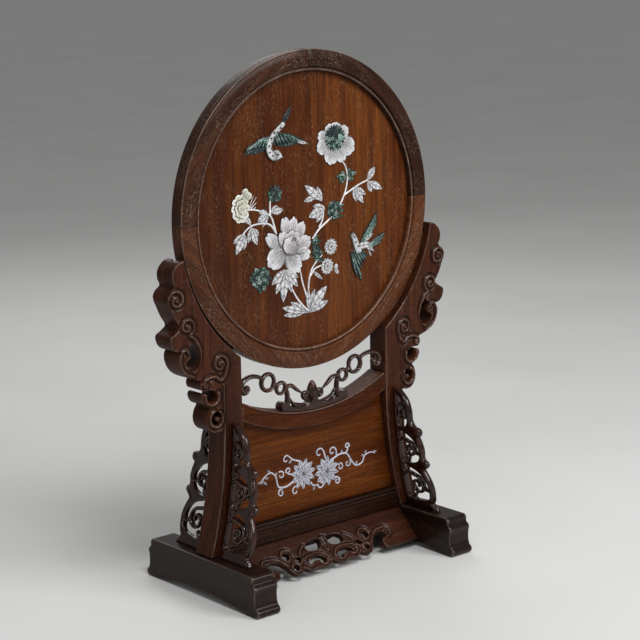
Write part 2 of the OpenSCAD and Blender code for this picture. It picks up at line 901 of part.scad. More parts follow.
module lotus_vines_outline() {
    vines = [
        [[-30, -6], [-40, -10], [-52, -8], [-56, 5], [-64, 11], [-74, 6], [-76, 2]],
        [[27, 7], [40, 12], [52, 11], [59, 2], [66, -6], [76, -5], [81, 3], [90, 5], [97, 3]],
        [[-20, 16], [-30, 20], [-36, 25]],
        [[-30, 2], [-36, 4], [-40, 7]],
        [[-4, -12], [0, -17], [8, -18]],
        [[19, 12], [17, 20], [14, 24]],
        [[36, 10], [36, 18], [33, 22]],
        [[33, -1], [38, 1], [41, -1]],
        [[50, 11], [54, 16], [54, 20]],
        [[32, -14], [38, -15], [39, -19]]
    ];
    // Place, radius, first angle and turn of each curl
    curls = [
        [[-40, 22], 5, 30, 300], [[-37, 8], 4, 200, -300], [[-48, 5], 5, 130, -330],
        [[-48, -16], 5, 100, 300], [[-27, -18], 5.5, 60, 300], [[10, 20], 6, 20, 300],
        [[30, 18], 5, 40, 300], [[53, 20], 4, -20, 320], [[42, -3], 4.5, 100, -320],
        [[54, -1], 5, 60, -320], [[37, -19], 4.5, 60, -320], [[12, -18], 5, 180, 300]
    ];
    for (path = vines) ribbon(open_curve([for (p = path) on_lotus(p)]), vine_w);
    for (c = curls) ribbon(spiral(on_lotus(c[0]), c[1], c[2], c[3]), vine_w * 0.8);
}

module lotus_flowers() {
    color(white_shell) on_waist() lotus_flowers_outline();
}

module lotus_vines() {
    color(white_shell) on_waist() difference() {
        lotus_vines_outline();
        lotus_flowers_outline(shell_gap);
    }
}

foot_left();
foot_right();
post_left();
post_right();
lower_rail();
curved_rail();
waist_panel();
crest_scroll();
apron_front();
apron_back_side();
spandrel_front_left();
spandrel_front_right();
spandrel_back_left();
spandrel_back_right();
spandrel_pegs();
lotus_flowers();
lotus_vines();
ring_upper_right();
ring_upper_left();
ring_lower_left();
ring_lower_right();
ring_keys();
round_panel();
inlay_peony();
inlay_poppy();
inlay_poppy_heart();
inlay_chrysanthemum();
inlay_daisies();
inlay_white_leaves();
inlay_green_leaves();
inlay_stems();
inlay_bird_bodies();
inlay_bird_wings();
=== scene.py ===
# Round table screen of rosewood, inlaid with shell, that lifts out of its carved stand.
# The sections follow the object as it is put together: the stand first, then the screen.
import math

import bpy
import numpy as np
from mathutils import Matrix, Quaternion, Vector


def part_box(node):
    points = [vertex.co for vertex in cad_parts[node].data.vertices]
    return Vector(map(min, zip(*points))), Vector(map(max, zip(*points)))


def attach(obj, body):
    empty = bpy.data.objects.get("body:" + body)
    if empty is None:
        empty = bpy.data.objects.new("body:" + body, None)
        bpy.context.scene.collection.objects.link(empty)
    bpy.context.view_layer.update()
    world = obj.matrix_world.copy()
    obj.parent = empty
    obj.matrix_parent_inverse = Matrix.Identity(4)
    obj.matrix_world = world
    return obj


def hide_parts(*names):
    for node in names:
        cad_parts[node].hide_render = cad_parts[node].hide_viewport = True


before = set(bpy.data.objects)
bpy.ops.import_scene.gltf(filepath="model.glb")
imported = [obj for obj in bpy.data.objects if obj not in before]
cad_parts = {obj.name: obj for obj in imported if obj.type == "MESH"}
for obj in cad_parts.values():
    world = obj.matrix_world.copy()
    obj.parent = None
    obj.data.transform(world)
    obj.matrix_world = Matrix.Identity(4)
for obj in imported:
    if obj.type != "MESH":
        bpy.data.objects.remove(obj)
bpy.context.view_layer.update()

# FEET
# Two shoe feet of near-black polished rosewood, each worked from one block, with a roll at the top
# and bottom of both ends and a low arch underneath. The posts are tenoned into their tops.
MM = 0.001


def box_mm(node):
    """Lowest and highest corner of a CAD node, in millimetres."""
    low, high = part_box(node)
    return low / MM, high / MM


def pick(*pieces):
    """Selects these objects alone, the first of them active."""
    bpy.ops.object.select_all(action="DESELECT")
    for piece in pieces:
        piece.select_set(True)
    bpy.context.view_layer.objects.active = pieces[0]


def edit(piece, *steps):
    """Runs edit-mode operators on the whole of one mesh."""
    pick(piece)
    bpy.ops.object.mode_set(mode="EDIT")
    for step in steps:
        bpy.ops.mesh.select_all(action="SELECT")
        step()
    bpy.ops.object.mode_set(mode="OBJECT")


def close_up():
    bpy.ops.mesh.remove_doubles(threshold=0.01 * MM)
    bpy.ops.mesh.normals_make_consistent(inside=False)


def finish_with(piece, kind, **settings):
    """Adds a modifier and applies it."""
    pick(piece)
    modifier = piece.modifiers.new(kind.title(), kind)
    for key, value in settings.items():
        setattr(modifier, key, value)
    bpy.ops.object.modifier_apply(modifier=modifier.name)


def rows(piece, kind="co"):
    """The places or normals of a mesh's vertices, one row of x, y, z each."""
    flat = np.empty(len(piece.data.vertices) * 3, np.float32)
    piece.data.vertices.foreach_get(kind, flat)
    return flat.reshape(-1, 3).astype(float)


def reshape(piece, rule):
    """Moves the vertices of a mesh by a rule that takes and gives rows of x, y, z in millimetres."""
    moved = rule(rows(piece) / MM)
    piece.data.vertices.foreach_set("co", (moved * MM).astype(np.float32).ravel())
    piece.data.update()


def columns(x, y, z):
    return np.column_stack([x, y, z])


def twin(piece, name, rule):
    """A copy of a piece with its own mesh, turned or mirrored by a rule."""
    pick(piece)
    bpy.ops.object.duplicate()
    copy = bpy.context.object
    copy.name = name
    copy.data.name = name
    reshape(copy, rule)
    edit(copy, close_up)
    return copy


def flat_board(name, loops, thick, middle=0.0):
    """A board on the XY plane from closed outlines in millimetres: its edge first, then its holes."""
    bpy.ops.object.select_all(action="DESELECT")
    bpy.ops.curve.primitive_bezier_circle_add()
    board = bpy.context.object
    board.name = name
    outline = board.data
    outline.splines.clear()
    outline.dimensions = "2D"
    outline.fill_mode = "BOTH"
    outline.extrude = thick / 2 * MM
    for loop in loops:
        spline = outline.splines.new("POLY")
        spline.points.add(len(loop) - 1)
        for point, (x, y) in zip(spline.points, loop):
            point.co = (x * MM, y * MM, 0, 1)
        spline.use_cyclic_u = True
    bpy.ops.object.convert(target="MESH")
    reshape(board, lambda p: p + [0, 0, middle])
    edit(board, close_up)
    return board


def work_down(piece, grain=1.0, rounds=4):
    """Fuses the boards of a piece into one body and eases its edges, as a rasp does."""
    finish_with(piece, "REMESH", mode="VOXEL", voxel_size=grain * MM)
    finish_with(piece, "SMOOTH", factor=0.5, iterations=rounds)


def store(piece, name, values):
    """Keeps a number at each vertex, for the material to read."""
    mark = piece.data.attributes.new(name, "FLOAT", "POINT")
    mark.data.foreach_set("value", np.asarray(values, np.float32))


def mark_wear_and_painted_light(piece, full=0.12):
    """Stores how proud or hollow the surface is at each vertex: 1 on an arris, -1 in a groove. The wood
    reads it for wear with a painted highlight on arrises and for painted shade in grooves.
    """
    mesh = piece.data
    count = len(mesh.vertices)
    place = rows(piece) / MM
    ends = np.empty(len(mesh.edges) * 2, np.int32)
    mesh.edges.foreach_get("vertices", ends)
    a, b = ends.reshape(-1, 2).T
    links = np.maximum(np.bincount(ends, minlength=count), 1)

    def around(values):
        return (np.bincount(a, values[b], count) + np.bincount(b, values[a], count)) / links

    mean = columns(*(around(place[:, axis]) for axis in range(3)))
    bend = ((place - mean) * rows(piece, "normal")).sum(1)
    for _ in range(3):
        bend = (bend + around(bend)) / 2
    store(piece, "wear_and_painted_light", np.clip(bend / full, -1, 1))


class Value:
    """A socket among a material's nodes, so that sums on it can be written in Python."""

    def __init__(self, tree, socket):
        self.tree = tree
        self.socket = socket

    def node(self, kind, inputs, output=0, **settings):
        made = self.tree.nodes.new("ShaderNode" + kind)
        for place, colour in settings.pop("stops", {}).items():
            stops = made.color_ramp.elements
            stop = stops[0] if place == 0 else stops[1] if place == 1 else stops.new(place)
            stop.color = (*colour, 1)
        for key, value in settings.items():
            setattr(made, key, value)
        for key, value in inputs.items():
            if isinstance(value, Value):
                self.tree.links.new(value.socket, made.inputs[key])
            else:
                made.inputs[key].default_value = value
        return Value(self.tree, made.outputs[output])

    def sum(self, operation, first, second):
        return self.node("Math", {0: first, 1: second}, operation=operation)

    def __add__(self, other):
        return self.sum("ADD", self, other)

    __radd__ = __add__

    def __sub__(self, other):
        return self.sum("SUBTRACT", self, other)

    def __rsub__(self, other):
        return self.sum("SUBTRACT", other, self)

    def __mul__(self, other):
        return self.sum("MULTIPLY", self, other)

    __rmul__ = __mul__

    def between(self, low, high):
        """0 below low, 1 above high, smooth between."""
        return self.node("MapRange", {0: self, 1: low, 2: high}, interpolation_type="SMOOTHSTEP")

    def mix(self, first, second):
        """From the first colour to the second as this value goes from 0 to 1."""
        colours = [c if isinstance(c, Value) else (*c, 1) for c in (first, second)]
        return self.node("Mix", {0: self, 6: colours[0], 7: colours[1]}, 2, data_type="RGBA")

    def feeds(self, shader, name):
        self.tree.links.new(self.socket, shader.inputs[name])


def new_finish(name, **constants):
    """A material, its shader with some sockets set, and the object coordinates."""
    finish = bpy.data.materials.new(name)
    finish.use_nodes = True
    shader = finish.node_tree.nodes["Principled BSDF"]
    for key, value in constants.items():
        shader.inputs[key.replace("_", " ")].default_value = value
    place = finish.node_tree.nodes.new("ShaderNodeTexCoord").outputs["Object"]
    return finish, shader, Value(finish.node_tree, place)


# Pale tone of rubbed arrises: partly wear, partly a painted highlight.
RUBBED_HIGHLIGHT = (0.2, 0.14, 0.11)


def wood(name, dark, body, light, grain=(0, 0, 0), pores=0.35, pore_tone=(0.3, 0.2, 0.14), gloss=0.36,
         polish=0.1, rub_highlight=0.34, shaded=0.0, fine=1.0):
    """Rosewood with its grain along X, turned by angles in degrees: bands, streaks, fibres and open pores.
    Arrises are rubbed pale, partly wear and partly a painted highlight, and hollows get painted shade.
    A shaded board is darker towards its left, partly its own tone and partly painted shade."""
    finish, shader, place = new_finish(name, Coat_Roughness=0.15, Specular_IOR_Level=0.06)
    turn = [math.radians(a) for a in grain]
    along = place.node("Mapping", {"Vector": place, "Rotation": turn}, vector_type="TEXTURE")

    def noise(scale, detail, rough=0.5, distortion=0.0):
        stretched = along.node("Mapping", {"Vector": along, "Scale": scale})
        return along.node("TexNoise", {
            "Vector": stretched, "Scale": 1, "Detail": detail, "Roughness": rough, "Distortion": distortion})

    bands = noise((3, 38, 38), 2, 0.5, 0.6).between(0.35, 0.68)
    streaks = noise((7, 190, 190), 4, 0.62, 0.9).between(0.38, 0.66)
    fibres = noise((60, 1300, 1300), 2)
    pore_mask = noise([fine * s for s in (170, 1150, 1150)], 1).between(0.57, 0.69)
    pore_mask = pore_mask * noise((20, 60, 60), 1).between(0.3, 0.7)
    wear_and_painted_light = place.node("Attribute", {}, "Fac", attribute_name="wear_and_painted_light")
    tone = (0.45 + 0.55 * streaks).mix(dark, bands.mix(body, light))
    tone = (fibres.between(0.3, 0.75) * 0.45).mix(tone, dark)
    # Darker towards the board's left: partly its own tone, partly painted shade.
    if shaded:
        left = 0 - place.node("SeparateXYZ", {"Vector": place}, "X")
        cloudy = place.node("TexNoise", {"Vector": place, "Scale": 9, "Detail": 2})
        tone = ((left + 0.12 * cloudy).between(0.0, 0.22) * shaded).mix(tone, dark)
    tone = (pore_mask * pores).mix(tone, pore_tone)
    # Hollows are darkened towards black: painted shade.
    tone = ((0 - wear_and_painted_light).between(0.1, 0.9) * 0.75).mix(tone, [0.3 * c for c in dark])
    # Arrises are lightened: wear with a painted highlight.
    rubbed_highlight = wear_and_painted_light.between(0.3, 1.0) * (0.4 + 0.6 * streaks)
    tone = (rubbed_highlight * rub_highlight).mix(tone, RUBBED_HIGHLIGHT)
    tone.feeds(shader, "Base Color")
    rough = gloss + 0.16 * fibres + 0.2 * pore_mask - 0.08 * wear_and_painted_light
    rough.feeds(shader, "Roughness")
    (polish - polish * pore_mask + 0.5 * rubbed_highlight).feeds(shader, "Coat Weight")
    height = 0.35 * fibres - pore_mask + 0.25 * streaks
    bump = place.node("Bump", {"Height": height, "Strength": 0.35, "Distance": 0.25 * MM}, "Normal")
    bump.feeds(shader, "Normal")
    return finish


CREASE = 50


def dress(piece, body, slot, finish, *nodes):
    """Gives a finished piece its material, its body and the CAD nodes that it stands for."""
    piece.data.materials.clear()
    piece.data.materials.append(finish)
    pick(piece)
    bpy.ops.object.shade_smooth_by_angle(angle=math.radians(CREASE))
    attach(piece, body)
    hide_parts(*nodes)


def arc(x, y, r, start, end, steps=10):
    """Points on an arc about a place, between two angles in degrees."""
    turn = np.radians(np.linspace(start, end, steps + 1))
    return np.column_stack([x + r * np.cos(turn), y + r * np.sin(turn)])


DARK_RED, DARK_BROWN, DARK_LIGHT = (0.004, 0.0015, 0.001), (0.012, 0.005, 0.0038), (0.025, 0.011, 0.007)
foot_low, foot_high = box_mm("foot_right")
FOOT_X = (foot_low.x + foot_high.x) / 2
FOOT_W = foot_high.x - foot_low.x
FOOT_H = foot_high.z
FOOT_END = foot_high.y
ROLL = 5.0
UPPER_BACK = 14.0
ARCH_HALF, ARCH_RISE = 80.0, 6.0
EASE = 0.35
upper = (FOOT_END - UPPER_BACK, FOOT_H - ROLL)
lower = (FOOT_END - ROLL, ROLL)
arch_r = (ARCH_HALF ** 2 + ARCH_RISE ** 2) / (2 * ARCH_RISE)
arch_turn = math.degrees(math.asin(ARCH_HALF / arch_r))
foot_half = np.concatenate([
    arc(0, ARCH_RISE - arch_r, arch_r, 90, 90 - arch_turn, 16),
    arc(*lower, ROLL, -90, 80, 12),
    arc(lower[0] + 26, 21, 27.2, 202, 158, 10),
    [(lower[0] + 0.3, 33.2)],
    arc(lower[0] - 2.4, 39.6, 3.4, 262, 178, 6),
    arc(*upper, ROLL, -40, 90, 12),
])
foot_loop = np.concatenate([foot_half[1:], foot_half[::-1] * [-1, 1]])
foot_right = flat_board("foot_right_piece", [foot_loop], FOOT_W - 2 * EASE)
work_down(foot_right, grain=1.2, rounds=6)
mark_wear_and_painted_light(foot_right)
reshape(foot_right, lambda p: columns(FOOT_X + p[:, 2], p[:, 0], p[:, 1]))
foot_left = twin(foot_right, "foot_left_piece", lambda p: p - [2 * FOOT_X, 0, 0])
foot_wood = wood(
    "foot_rosewood", DARK_RED, DARK_BROWN, DARK_LIGHT, grain=(0, 0, 90), pores=0.12, gloss=0.3, polish=0.3)
dress(foot_right, "stand", "dark_rosewood", foot_wood, "foot_right")
dress(foot_left, "stand", "dark_rosewood", foot_wood, "foot_left")

# POSTS
# Each post is one plank of reddish rosewood with its carved wing: a hollow grooved for the round frame,
# volutes, a pierced eye, a scroll on the outer edge and a lower part that flares out to the foot.


def join(pieces, name):
    """Makes one object of several and names it."""
    pick(*pieces)
    if len(pieces) > 1:
        bpy.ops.object.join()
    pieces[0].name = name
    pieces[0].data.name = name
    return pieces[0]


def way_to(points, paths):
    """Distance from flat points to the nearest of some paths."""
    nearest = np.full(len(points), 1e6)
    for path in paths:
        path = np.asarray(path, float)
        for a, b in zip(path[:-1], path[1:]):
            along = b - a
            share = np.clip((points - a) @ along / max(along @ along, 1e-9), 0, 1)
            gap = points - a - share[:, None] * along
            nearest = np.minimum(nearest, np.einsum("ij,ij->i", gap, gap))
    return np.sqrt(nearest)


def carve(piece, beads, lines=(), high=1.3, wide=1.4, deep=1.1):
    """Raises beads along paths on both faces of a flat board, with a hollow beside them, and cuts lines."""
    facing = rows(piece, "normal")[:, 2]

    def relief(p):
        height = np.zeros(len(p))
        if len(beads):
            way = way_to(p[:, :2], beads)
            height += high * np.exp(-((way / wide) ** 2))
            height -= 0.8 * high * np.exp(-(((way - 2.3 * wide) / wide) ** 2))
        if len(lines):
            height -= deep * np.exp(-((way_to(p[:, :2], lines) / 0.9) ** 2))
        p[:, 2] += height * facing * np.abs(facing)
        return p

    reshape(piece, relief)


def curve_through(points, steps=5, closed=False):
    """A smooth curve through points, open from the first to the last or closed all the way round."""
    points = np.asarray(points, float)
    count = len(points)
    made = []
    for i in range(count if closed else count - 1):
        places = [(i + k) % count if closed else min(max(i + k, 0), count - 1) for k in (-1, 0, 1, 2)]
        a, b, c, d = points[places]
        for t in np.arange(steps) / steps:
            made.append((2 * b + (c - a) * t + (2 * a - 5 * b + 4 * c - d) * t ** 2
                         + (3 * b - a - 3 * c + d) * t ** 3) / 2)
    return np.array(made if closed else made + [points[-1]])


def spiral(place, r, start, turn, keep=0.12, steps=44):
    """A path that winds in from its outer end, through a turn in degrees."""
    share = np.linspace(0, 1, steps + 1)
    angle = np.radians(start + turn * share)
    reach = r * (1 - (1 - keep) * share)
    return np.column_stack([place[0] + reach * np.cos(angle), place[1] + reach * np.sin(angle)])


def tendril(lead, *curl):
    """A curve through points that runs on into a spiral."""
    return np.concatenate([curve_through(lead), spiral(*curl)])


panel_low, panel_high = box_mm("round_panel")
post_low, post_high = box_mm("post_right")
DISC_Z = (panel_low.z + panel_high.z) / 2
DISC_R = box_mm("ring_upper_right")[1].x
POST_T = post_high.y - post_low.y
POST_IN, POST_OUT = 108.0, 135.0
FIT = 0.3
FLARE_Z, FLARE_R = 198.0, 513.8
WING_R = DISC_R + 5
GROOVE_R, GROOVE_T = DISC_R + 10.4, 8.8
BRACKET = np.array([POST_OUT, DISC_Z - 230])


def flare(z):
    """How far a post has flared out at a height."""
    drop = np.maximum(FLARE_Z - np.asarray(z, float), 0)
    return FLARE_R - np.sqrt(FLARE_R ** 2 - drop ** 2)


def on_wing(points):
    """Places given as degrees below the middle of the frame and distance outside the hollow."""
    turn, out = np.asarray(points, float).T
    reach = WING_R + out
    return np.column_stack([reach * np.cos(np.radians(turn)), DISC_Z - reach * np.sin(np.radians(turn))])


wing_edge = curve_through(on_wing([
    (10.3, 0), (10.7, 8.5), (12.6, 17.5), (15.2, 20.5), (17.3, 20), (18.2, 26.5), (20, 33), (23, 33),
    (26, 33), (29, 32.5), (29.5, 40), (29.7, 49), (32, 52.5), (34, 50), (34.7, 45), (35.5, 51),
    (37.5, 56.5), (40, 58.5), (42.5, 56.5), (45, 51), (47.5, 44), (52, 30)]))
wing_eye = curve_through(on_wing([
    (36, 28), (36, 37.5), (38.2, 39.5), (38.6, 50), (41, 51), (42.5, 43), (41.4, 33), (38.5, 27)]),
    closed=True)
bracket_edge = BRACKET + curve_through([
    (-6, 62), (2, 61.5), (8, 64.5), (16, 66), (24, 64.2), (29.4, 58.5), (29, 52.6), (25.5, 49.8),
    (21, 50), (15, 49), (9.6, 46.2), (8, 41), (10, 36.6), (14.6, 34.8), (19.4, 36.4), (21.4, 40.6),
    (22.4, 45.4), (25.4, 46.8), (28, 44.6), (27.8, 39.6), (24, 33.6), (16.5, 29.6), (19.6, 25), (22, 17),
    (21, 9), (15.5, 2), (7, 0), (0, 2), (-6, 4)], closed=True)
bracket_eye = BRACKET + curve_through([
    (2.4, 17.5), (4.2, 22.4), (9, 24), (14, 21.6), (15.8, 16.4), (14, 11), (9.6, 8.6), (6, 10), (7.4, 12.4),
    (10.6, 13.6), (10.6, 17), (7, 18), (4.6, 16)], closed=True)
post_z = np.linspace(FOOT_H + FIT, FLARE_Z, 24)
post_loop = np.concatenate([
    np.column_stack([POST_IN + flare(post_z), post_z]),
    arc(0, DISC_Z, WING_R, -54.2, -46, 6),
    np.column_stack([POST_OUT + flare(post_z), post_z])[::-1]])


def wing_board(r, thick, middle):
    hollow = arc(0, DISC_Z, r, -52, -10.5, 40)
    return flat_board("wing", [np.concatenate([wing_edge, hollow]), wing_eye], thick, middle)


CHEEK = (POST_T - GROOVE_T) / 2
post_right = join([
    flat_board("post", [post_loop], POST_T - 2 * EASE),
    flat_board("bracket", [bracket_edge, bracket_eye], POST_T - 2 * EASE),
    wing_board(GROOVE_R, GROOVE_T + 0.6, 0),
    wing_board(WING_R, CHEEK - EASE, (POST_T - CHEEK - EASE) / 2),
    wing_board(WING_R, CHEEK - EASE, -(POST_T - CHEEK - EASE) / 2)], "post_right_piece")
work_down(post_right, grain=1.0, rounds=6)
post_beads = [
    spiral((194, 343), 11, 15, 440, 0.3), arc(194, 343, 1.4, 0, 330),
    spiral((181, 312.5), 10.2, 245, -430, 0.3), arc(181, 312.5, 1.4, 0, 330),
    tendril([BRACKET + (9, 63.5), BRACKET + (2, 58.5), (130.5, 253)], (138, 265), 10.5, 205, -430, 0.32),
    arc(138, 265, 1.6, 0, 330),
    curve_through([(177, 302), (170, 296), (164.5, 284), (166, 270), (173, 261)]),
    curve_through([
        (179.5, 283), (183, 287.5), (189.5, 285), (191.5, 277), (190, 268), (184, 260.5), (174, 256)]),
    BRACKET + curve_through([(9, 63.5), (16, 64), (22.5, 62), (26.6, 57.5)]),
    BRACKET + arc(23.4, 55.4, 1.8, 0, 330),
    BRACKET + arc(14.8, 41.6, 9.4, 20, -200, 20),
    BRACKET + spiral((9.4, 15.5), 9.8, 70, -300, 0.8),
]
edge_z = np.linspace(FOOT_H + 2, BRACKET[1] + 52, 30)
edge_bead = np.column_stack([POST_OUT - 1.4 + flare(edge_z), edge_z])
carve(post_right, post_beads, high=1.7, wide=1.5)
carve(post_right, [edge_bead], high=0.9, wide=0.8)
mark_wear_and_painted_light(post_right)
reshape(post_right, lambda p: columns(p[:, 0], -p[:, 2], p[:, 1]))
post_left = twin(post_right, "post_left_piece", lambda p: p * [-1, 1, 1])
RED_DARK, RED_BODY, RED_LIGHT = (0.01, 0.0024, 0.0013), (0.043, 0.0102, 0.0033), (0.075, 0.02, 0.006)
UPRIGHT = (0, 90, 0)
post_wood = wood("post_rosewood", RED_DARK, RED_BODY, RED_LIGHT, UPRIGHT, pores=0.12, gloss=0.33)
dress(post_right, "stand", "rosewood", post_wood, "post_right")
dress(post_left, "stand", "rosewood", post_wood, "post_left")

# LOWER RAIL
# A straight rail of rosewood tenoned between the two posts at foot height, with a double bead
# run along its upper edges. It is grooved for the waist panel. Its very dark tone is partly the wood's own
# and partly painted shade.


def trim(piece, place, outward):
    """Cuts off what lies beyond a plane and closes the cut."""
    edit(piece, lambda: bpy.ops.mesh.bisect(
        plane_co=Vector(place) * MM, plane_no=outward, use_fill=True, clear_outer=True))


rail_low, rail_high = box_mm("lower_rail")
RAIL_T = rail_high.y - rail_low.y
RAIL_TOP, RAIL_BOTTOM = rail_high.z, rail_low.z
RAIL_BLANK = 270
BEAD = 1.9
half_t = RAIL_T / 2
rail_side = np.concatenate([
    [(half_t - FIT, RAIL_BOTTOM + FIT), (half_t - FIT, RAIL_TOP - 5.2 * BEAD)],
    [(half_t - 1.6, RAIL_TOP - 4.6 * BEAD)],
    arc(half_t - BEAD, RAIL_TOP - 3.4 * BEAD, BEAD, -60, 60, 6),
    [(half_t - 1.8, RAIL_TOP - 2.2 * BEAD)],
    arc(half_t - BEAD, RAIL_TOP - BEAD, BEAD, -60, 90, 8)])
rail_loop = np.concatenate([rail_side, rail_side[::-1] * [-1, 1]])
lower_rail = flat_board("lower_rail_piece", [rail_loop], RAIL_BLANK)
reshape(lower_rail, lambda p: columns(p[:, 2], p[:, 0], p[:, 1]))
for side in (-1, 1):
    top_x, bottom_x = (POST_IN - FIT + flare(z) for z in (RAIL_TOP, RAIL_BOTTOM))
    trim(lower_rail, (side * bottom_x, 0, RAIL_BOTTOM),
         Vector((side * (RAIL_TOP - RAIL_BOTTOM), 0, bottom_x - top_x)).normalized())
work_down(lower_rail, grain=0.9, rounds=2)
mark_wear_and_painted_light(lower_rail)
# Very dark tones: partly the wood's own, partly painted shade.
rail_wood = wood(
    "rail_rosewood", DARK_RED, (0.014, 0.004, 0.002), (0.03, 0.009, 0.004),
    pores=0.1, gloss=0.34, polish=0.05)
dress(lower_rail, "stand", "rosewood", rail_wood, "lower_rail")

# CURVED RAIL
# A rail sawn to a curve that follows the round frame, of golden brown rosewood, tenoned between the
# posts above the waist panel. A fine line cut below its upper edges leaves a bead along them.
RAIL_IN, RAIL_H, RAIL_BEAD = 229.0, 20.0, 3.4
rail_turn = 27.5
curved_loop = np.concatenate([
    arc(0, DISC_Z, RAIL_IN + EASE, -90 - rail_turn, -90 + rail_turn, 60),
    arc(0, DISC_Z, RAIL_IN + RAIL_H - EASE, -90 + rail_turn, -90 - rail_turn, 60)])
curved_rail = flat_board("curved_rail_piece", [curved_loop], RAIL_T - 2 * EASE)
for side in (-1, 1):
    trim(curved_rail, (side * (POST_IN - FIT), 0, 0), (side, 0, 0))
work_down(curved_rail, grain=1.0, rounds=3)
bead_line = arc(0, DISC_Z, RAIL_IN + RAIL_BEAD, -119, -61, 60)
carve(curved_rail, [], [bead_line], deep=0.9)
mark_wear_and_painted_light(curved_rail)
reshape(curved_rail, lambda p: columns(p[:, 0], -p[:, 2], p[:, 1]))
GOLD_DARK, GOLD_BODY, GOLD_LIGHT = (0.022, 0.0045, 0.001), (0.088, 0.019, 0.0018), (0.152, 0.042, 0.005)
curved_wood = wood(
    "curved_rail_rosewood", GOLD_DARK, (0.053, 0.0115, 0.0015), (0.092, 0.024, 0.0035),
    pores=0.1, polish=0.02)
dress(curved_rail, "stand", "golden_rosewood", curved_wood, "curved_rail")

# WAIST PANEL
# A thin board of golden brown rosewood with level grain, held in grooves of the posts and of both rails.


def oil(node, finish):
    """Gives its material to a CAD node that is shown as it is."""
    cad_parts[node].data.materials.clear()
    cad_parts[node].data.materials.append(finish)


waist_wood = wood("waist_rosewood", GOLD_DARK, GOLD_BODY, GOLD_LIGHT, pores=0.12, polish=0.03)
oil("waist_panel", waist_wood)

# LOTUS INLAY
# Two lotus flowers with scrolling vines, sawn from white shell, laid on the face of the waist panel
# and engraved with veins.
LAYER = 1.6


def petal(
        face, base, angle, long, wide, full=1.0, dome=0.5, lift=0.0, frill=0, veins=4, tint=0.0, fine=1.2):
    """A leaf or petal of shell lying on a face or lifted off it by some layers of shell, with its sides
    carried down. Fullness moves its widest part. Frill makes it a fan with so many lobes or, below zero,
    saws its edges. Veins run along a rib or, below zero, fan out. With 0 it is all dark, with None plain."""
    across = max(8, 2 * round(wide * fine / 1.5))
    cells = max(12, round(1.25 * long * fine))
    bpy.ops.object.select_all(action="DESELECT")
    bpy.ops.mesh.primitive_grid_add(x_subdivisions=cells, y_subdivisions=across, size=MM)
    leaf = bpy.context.object
    lines = np.zeros(len(leaf.data.vertices))

    def shape(p):
        u = p[:, 0] + 0.5
        v = 2 * p[:, 1]
        if frill > 0:
            half = wide / 2 * np.sin(np.pi / 2 * u ** (0.55 * full)) ** 0.9
            notches = 1 - np.abs(np.sin(np.pi * frill * (v + 1) / 2)) ** 0.5
            run = long * u * (1 - 0.4 * np.abs(v) ** 2.4) * (1 - 0.11 * u ** 2 * notches)
        else:
            half = wide / 2 * np.maximum(np.sin(np.pi * u ** full), 0) ** 0.8
            run = long * (u - 0.05 * u ** 3 * v ** 2)
        if frill < 0:
            half = half * (1 - 0.22 * np.mod(-frill * u, 1) * np.abs(v))
        side = half * v
        inside = (1 - np.abs(v) ** 6) * (1 - np.abs(2 * u - 1) ** 12)
        cut = np.zeros(len(u))
        if veins is None:
            shade = rim = cut
        elif veins == 0:
            shade = rim = cut + 1
        else:
            # The rim is a dark line round the petal: partly an engraved outline, partly painted shadow where
            # petals overlap.
            edge = np.minimum((1 - np.abs(v)) * half + 9 * (u < 0.12), (1 - u) * long)
            rim = 0.9 * np.clip((min(1.5, 0.13 * wide) - edge) / 0.5, 0, 1)
            # Shade is painted shade, darker towards the petal's base where it goes under others.
            shade = 0.85 * (1 - u) ** 0.8 if veins < 0 else 0.35 * (1 - u) ** 1.2
            if veins > 0:
                rib = np.exp(-((side / 0.6) ** 2)) * (u < 0.9)
                slant = np.maximum(np.cos(2 * np.pi * veins * (u - 0.4 * np.abs(v) * wide / long)), 0) ** 3
                cut = np.maximum(rib, 0.95 * slant)
            else:
                fan = np.maximum(np.cos(np.pi * veins * v), 0) ** 3
                cut = fan * np.clip((0.88 - u) * 3, 0, 1)
        lines[:] = np.maximum(np.maximum(cut * inside, shade), rim)
        height = LAYER * lift + (0.5 + 0.5 * dome * np.sqrt(np.maximum(1 - v * v, 0)) - 0.25 * cut) * inside
        c, s = math.cos(math.radians(angle)), math.sin(math.radians(angle))
        return columns(base[0] + c * run - s * side, face - height, base[1] + s * run + c * side)

    reshape(leaf, shape)
    store(leaf, "line", lines)
    store(leaf, "tint", np.full(len(lines), tint))

    def back_up():
        bpy.ops.mesh.region_to_loop()
        if lift:
            down = (0, LAYER * lift * MM, 0)
            bpy.ops.mesh.extrude_edges_move(TRANSFORM_OT_translate={"value": down})
        bpy.ops.mesh.edge_face_add()

    edit(leaf, close_up, back_up, close_up)
    return leaf


def rod(path, wide, deep=1.0):
    """A round rod along a flat path, with its widths spread along it, and deeper than wide by a factor."""
    bpy.ops.object.select_all(action="DESELECT")
    bpy.ops.curve.primitive_bezier_curve_add()
    made = bpy.context.object
    made.data.splines.clear()
    made.data.dimensions = "3D"
    made.data.bevel_depth = MM / 2
    made.data.bevel_resolution = 3
    made.data.use_fill_caps = True
    spline = made.data.splines.new("POLY")
    spline.points.add(len(path) - 1)
    widths = np.interp(np.linspace(0, 1, len(path)), np.linspace(0, 1, len(wide)), wide)
    for point, (x, y), width in zip(spline.points, path, widths):
        point.co = (x * MM, y * MM, 0, 1)
        point.radius = width
    bpy.ops.object.convert(target="MESH")
    reshape(made, lambda p: p * [1, 1, deep])
    edit(made, close_up)
    return made


def stem(face, path, wide):
    """A low domed stem of shell along a path on a face."""
    made = rod(path, wide, 0.7)
    reshape(made, lambda p: columns(p[:, 0], face - p[:, 2], p[:, 1]))
    return made


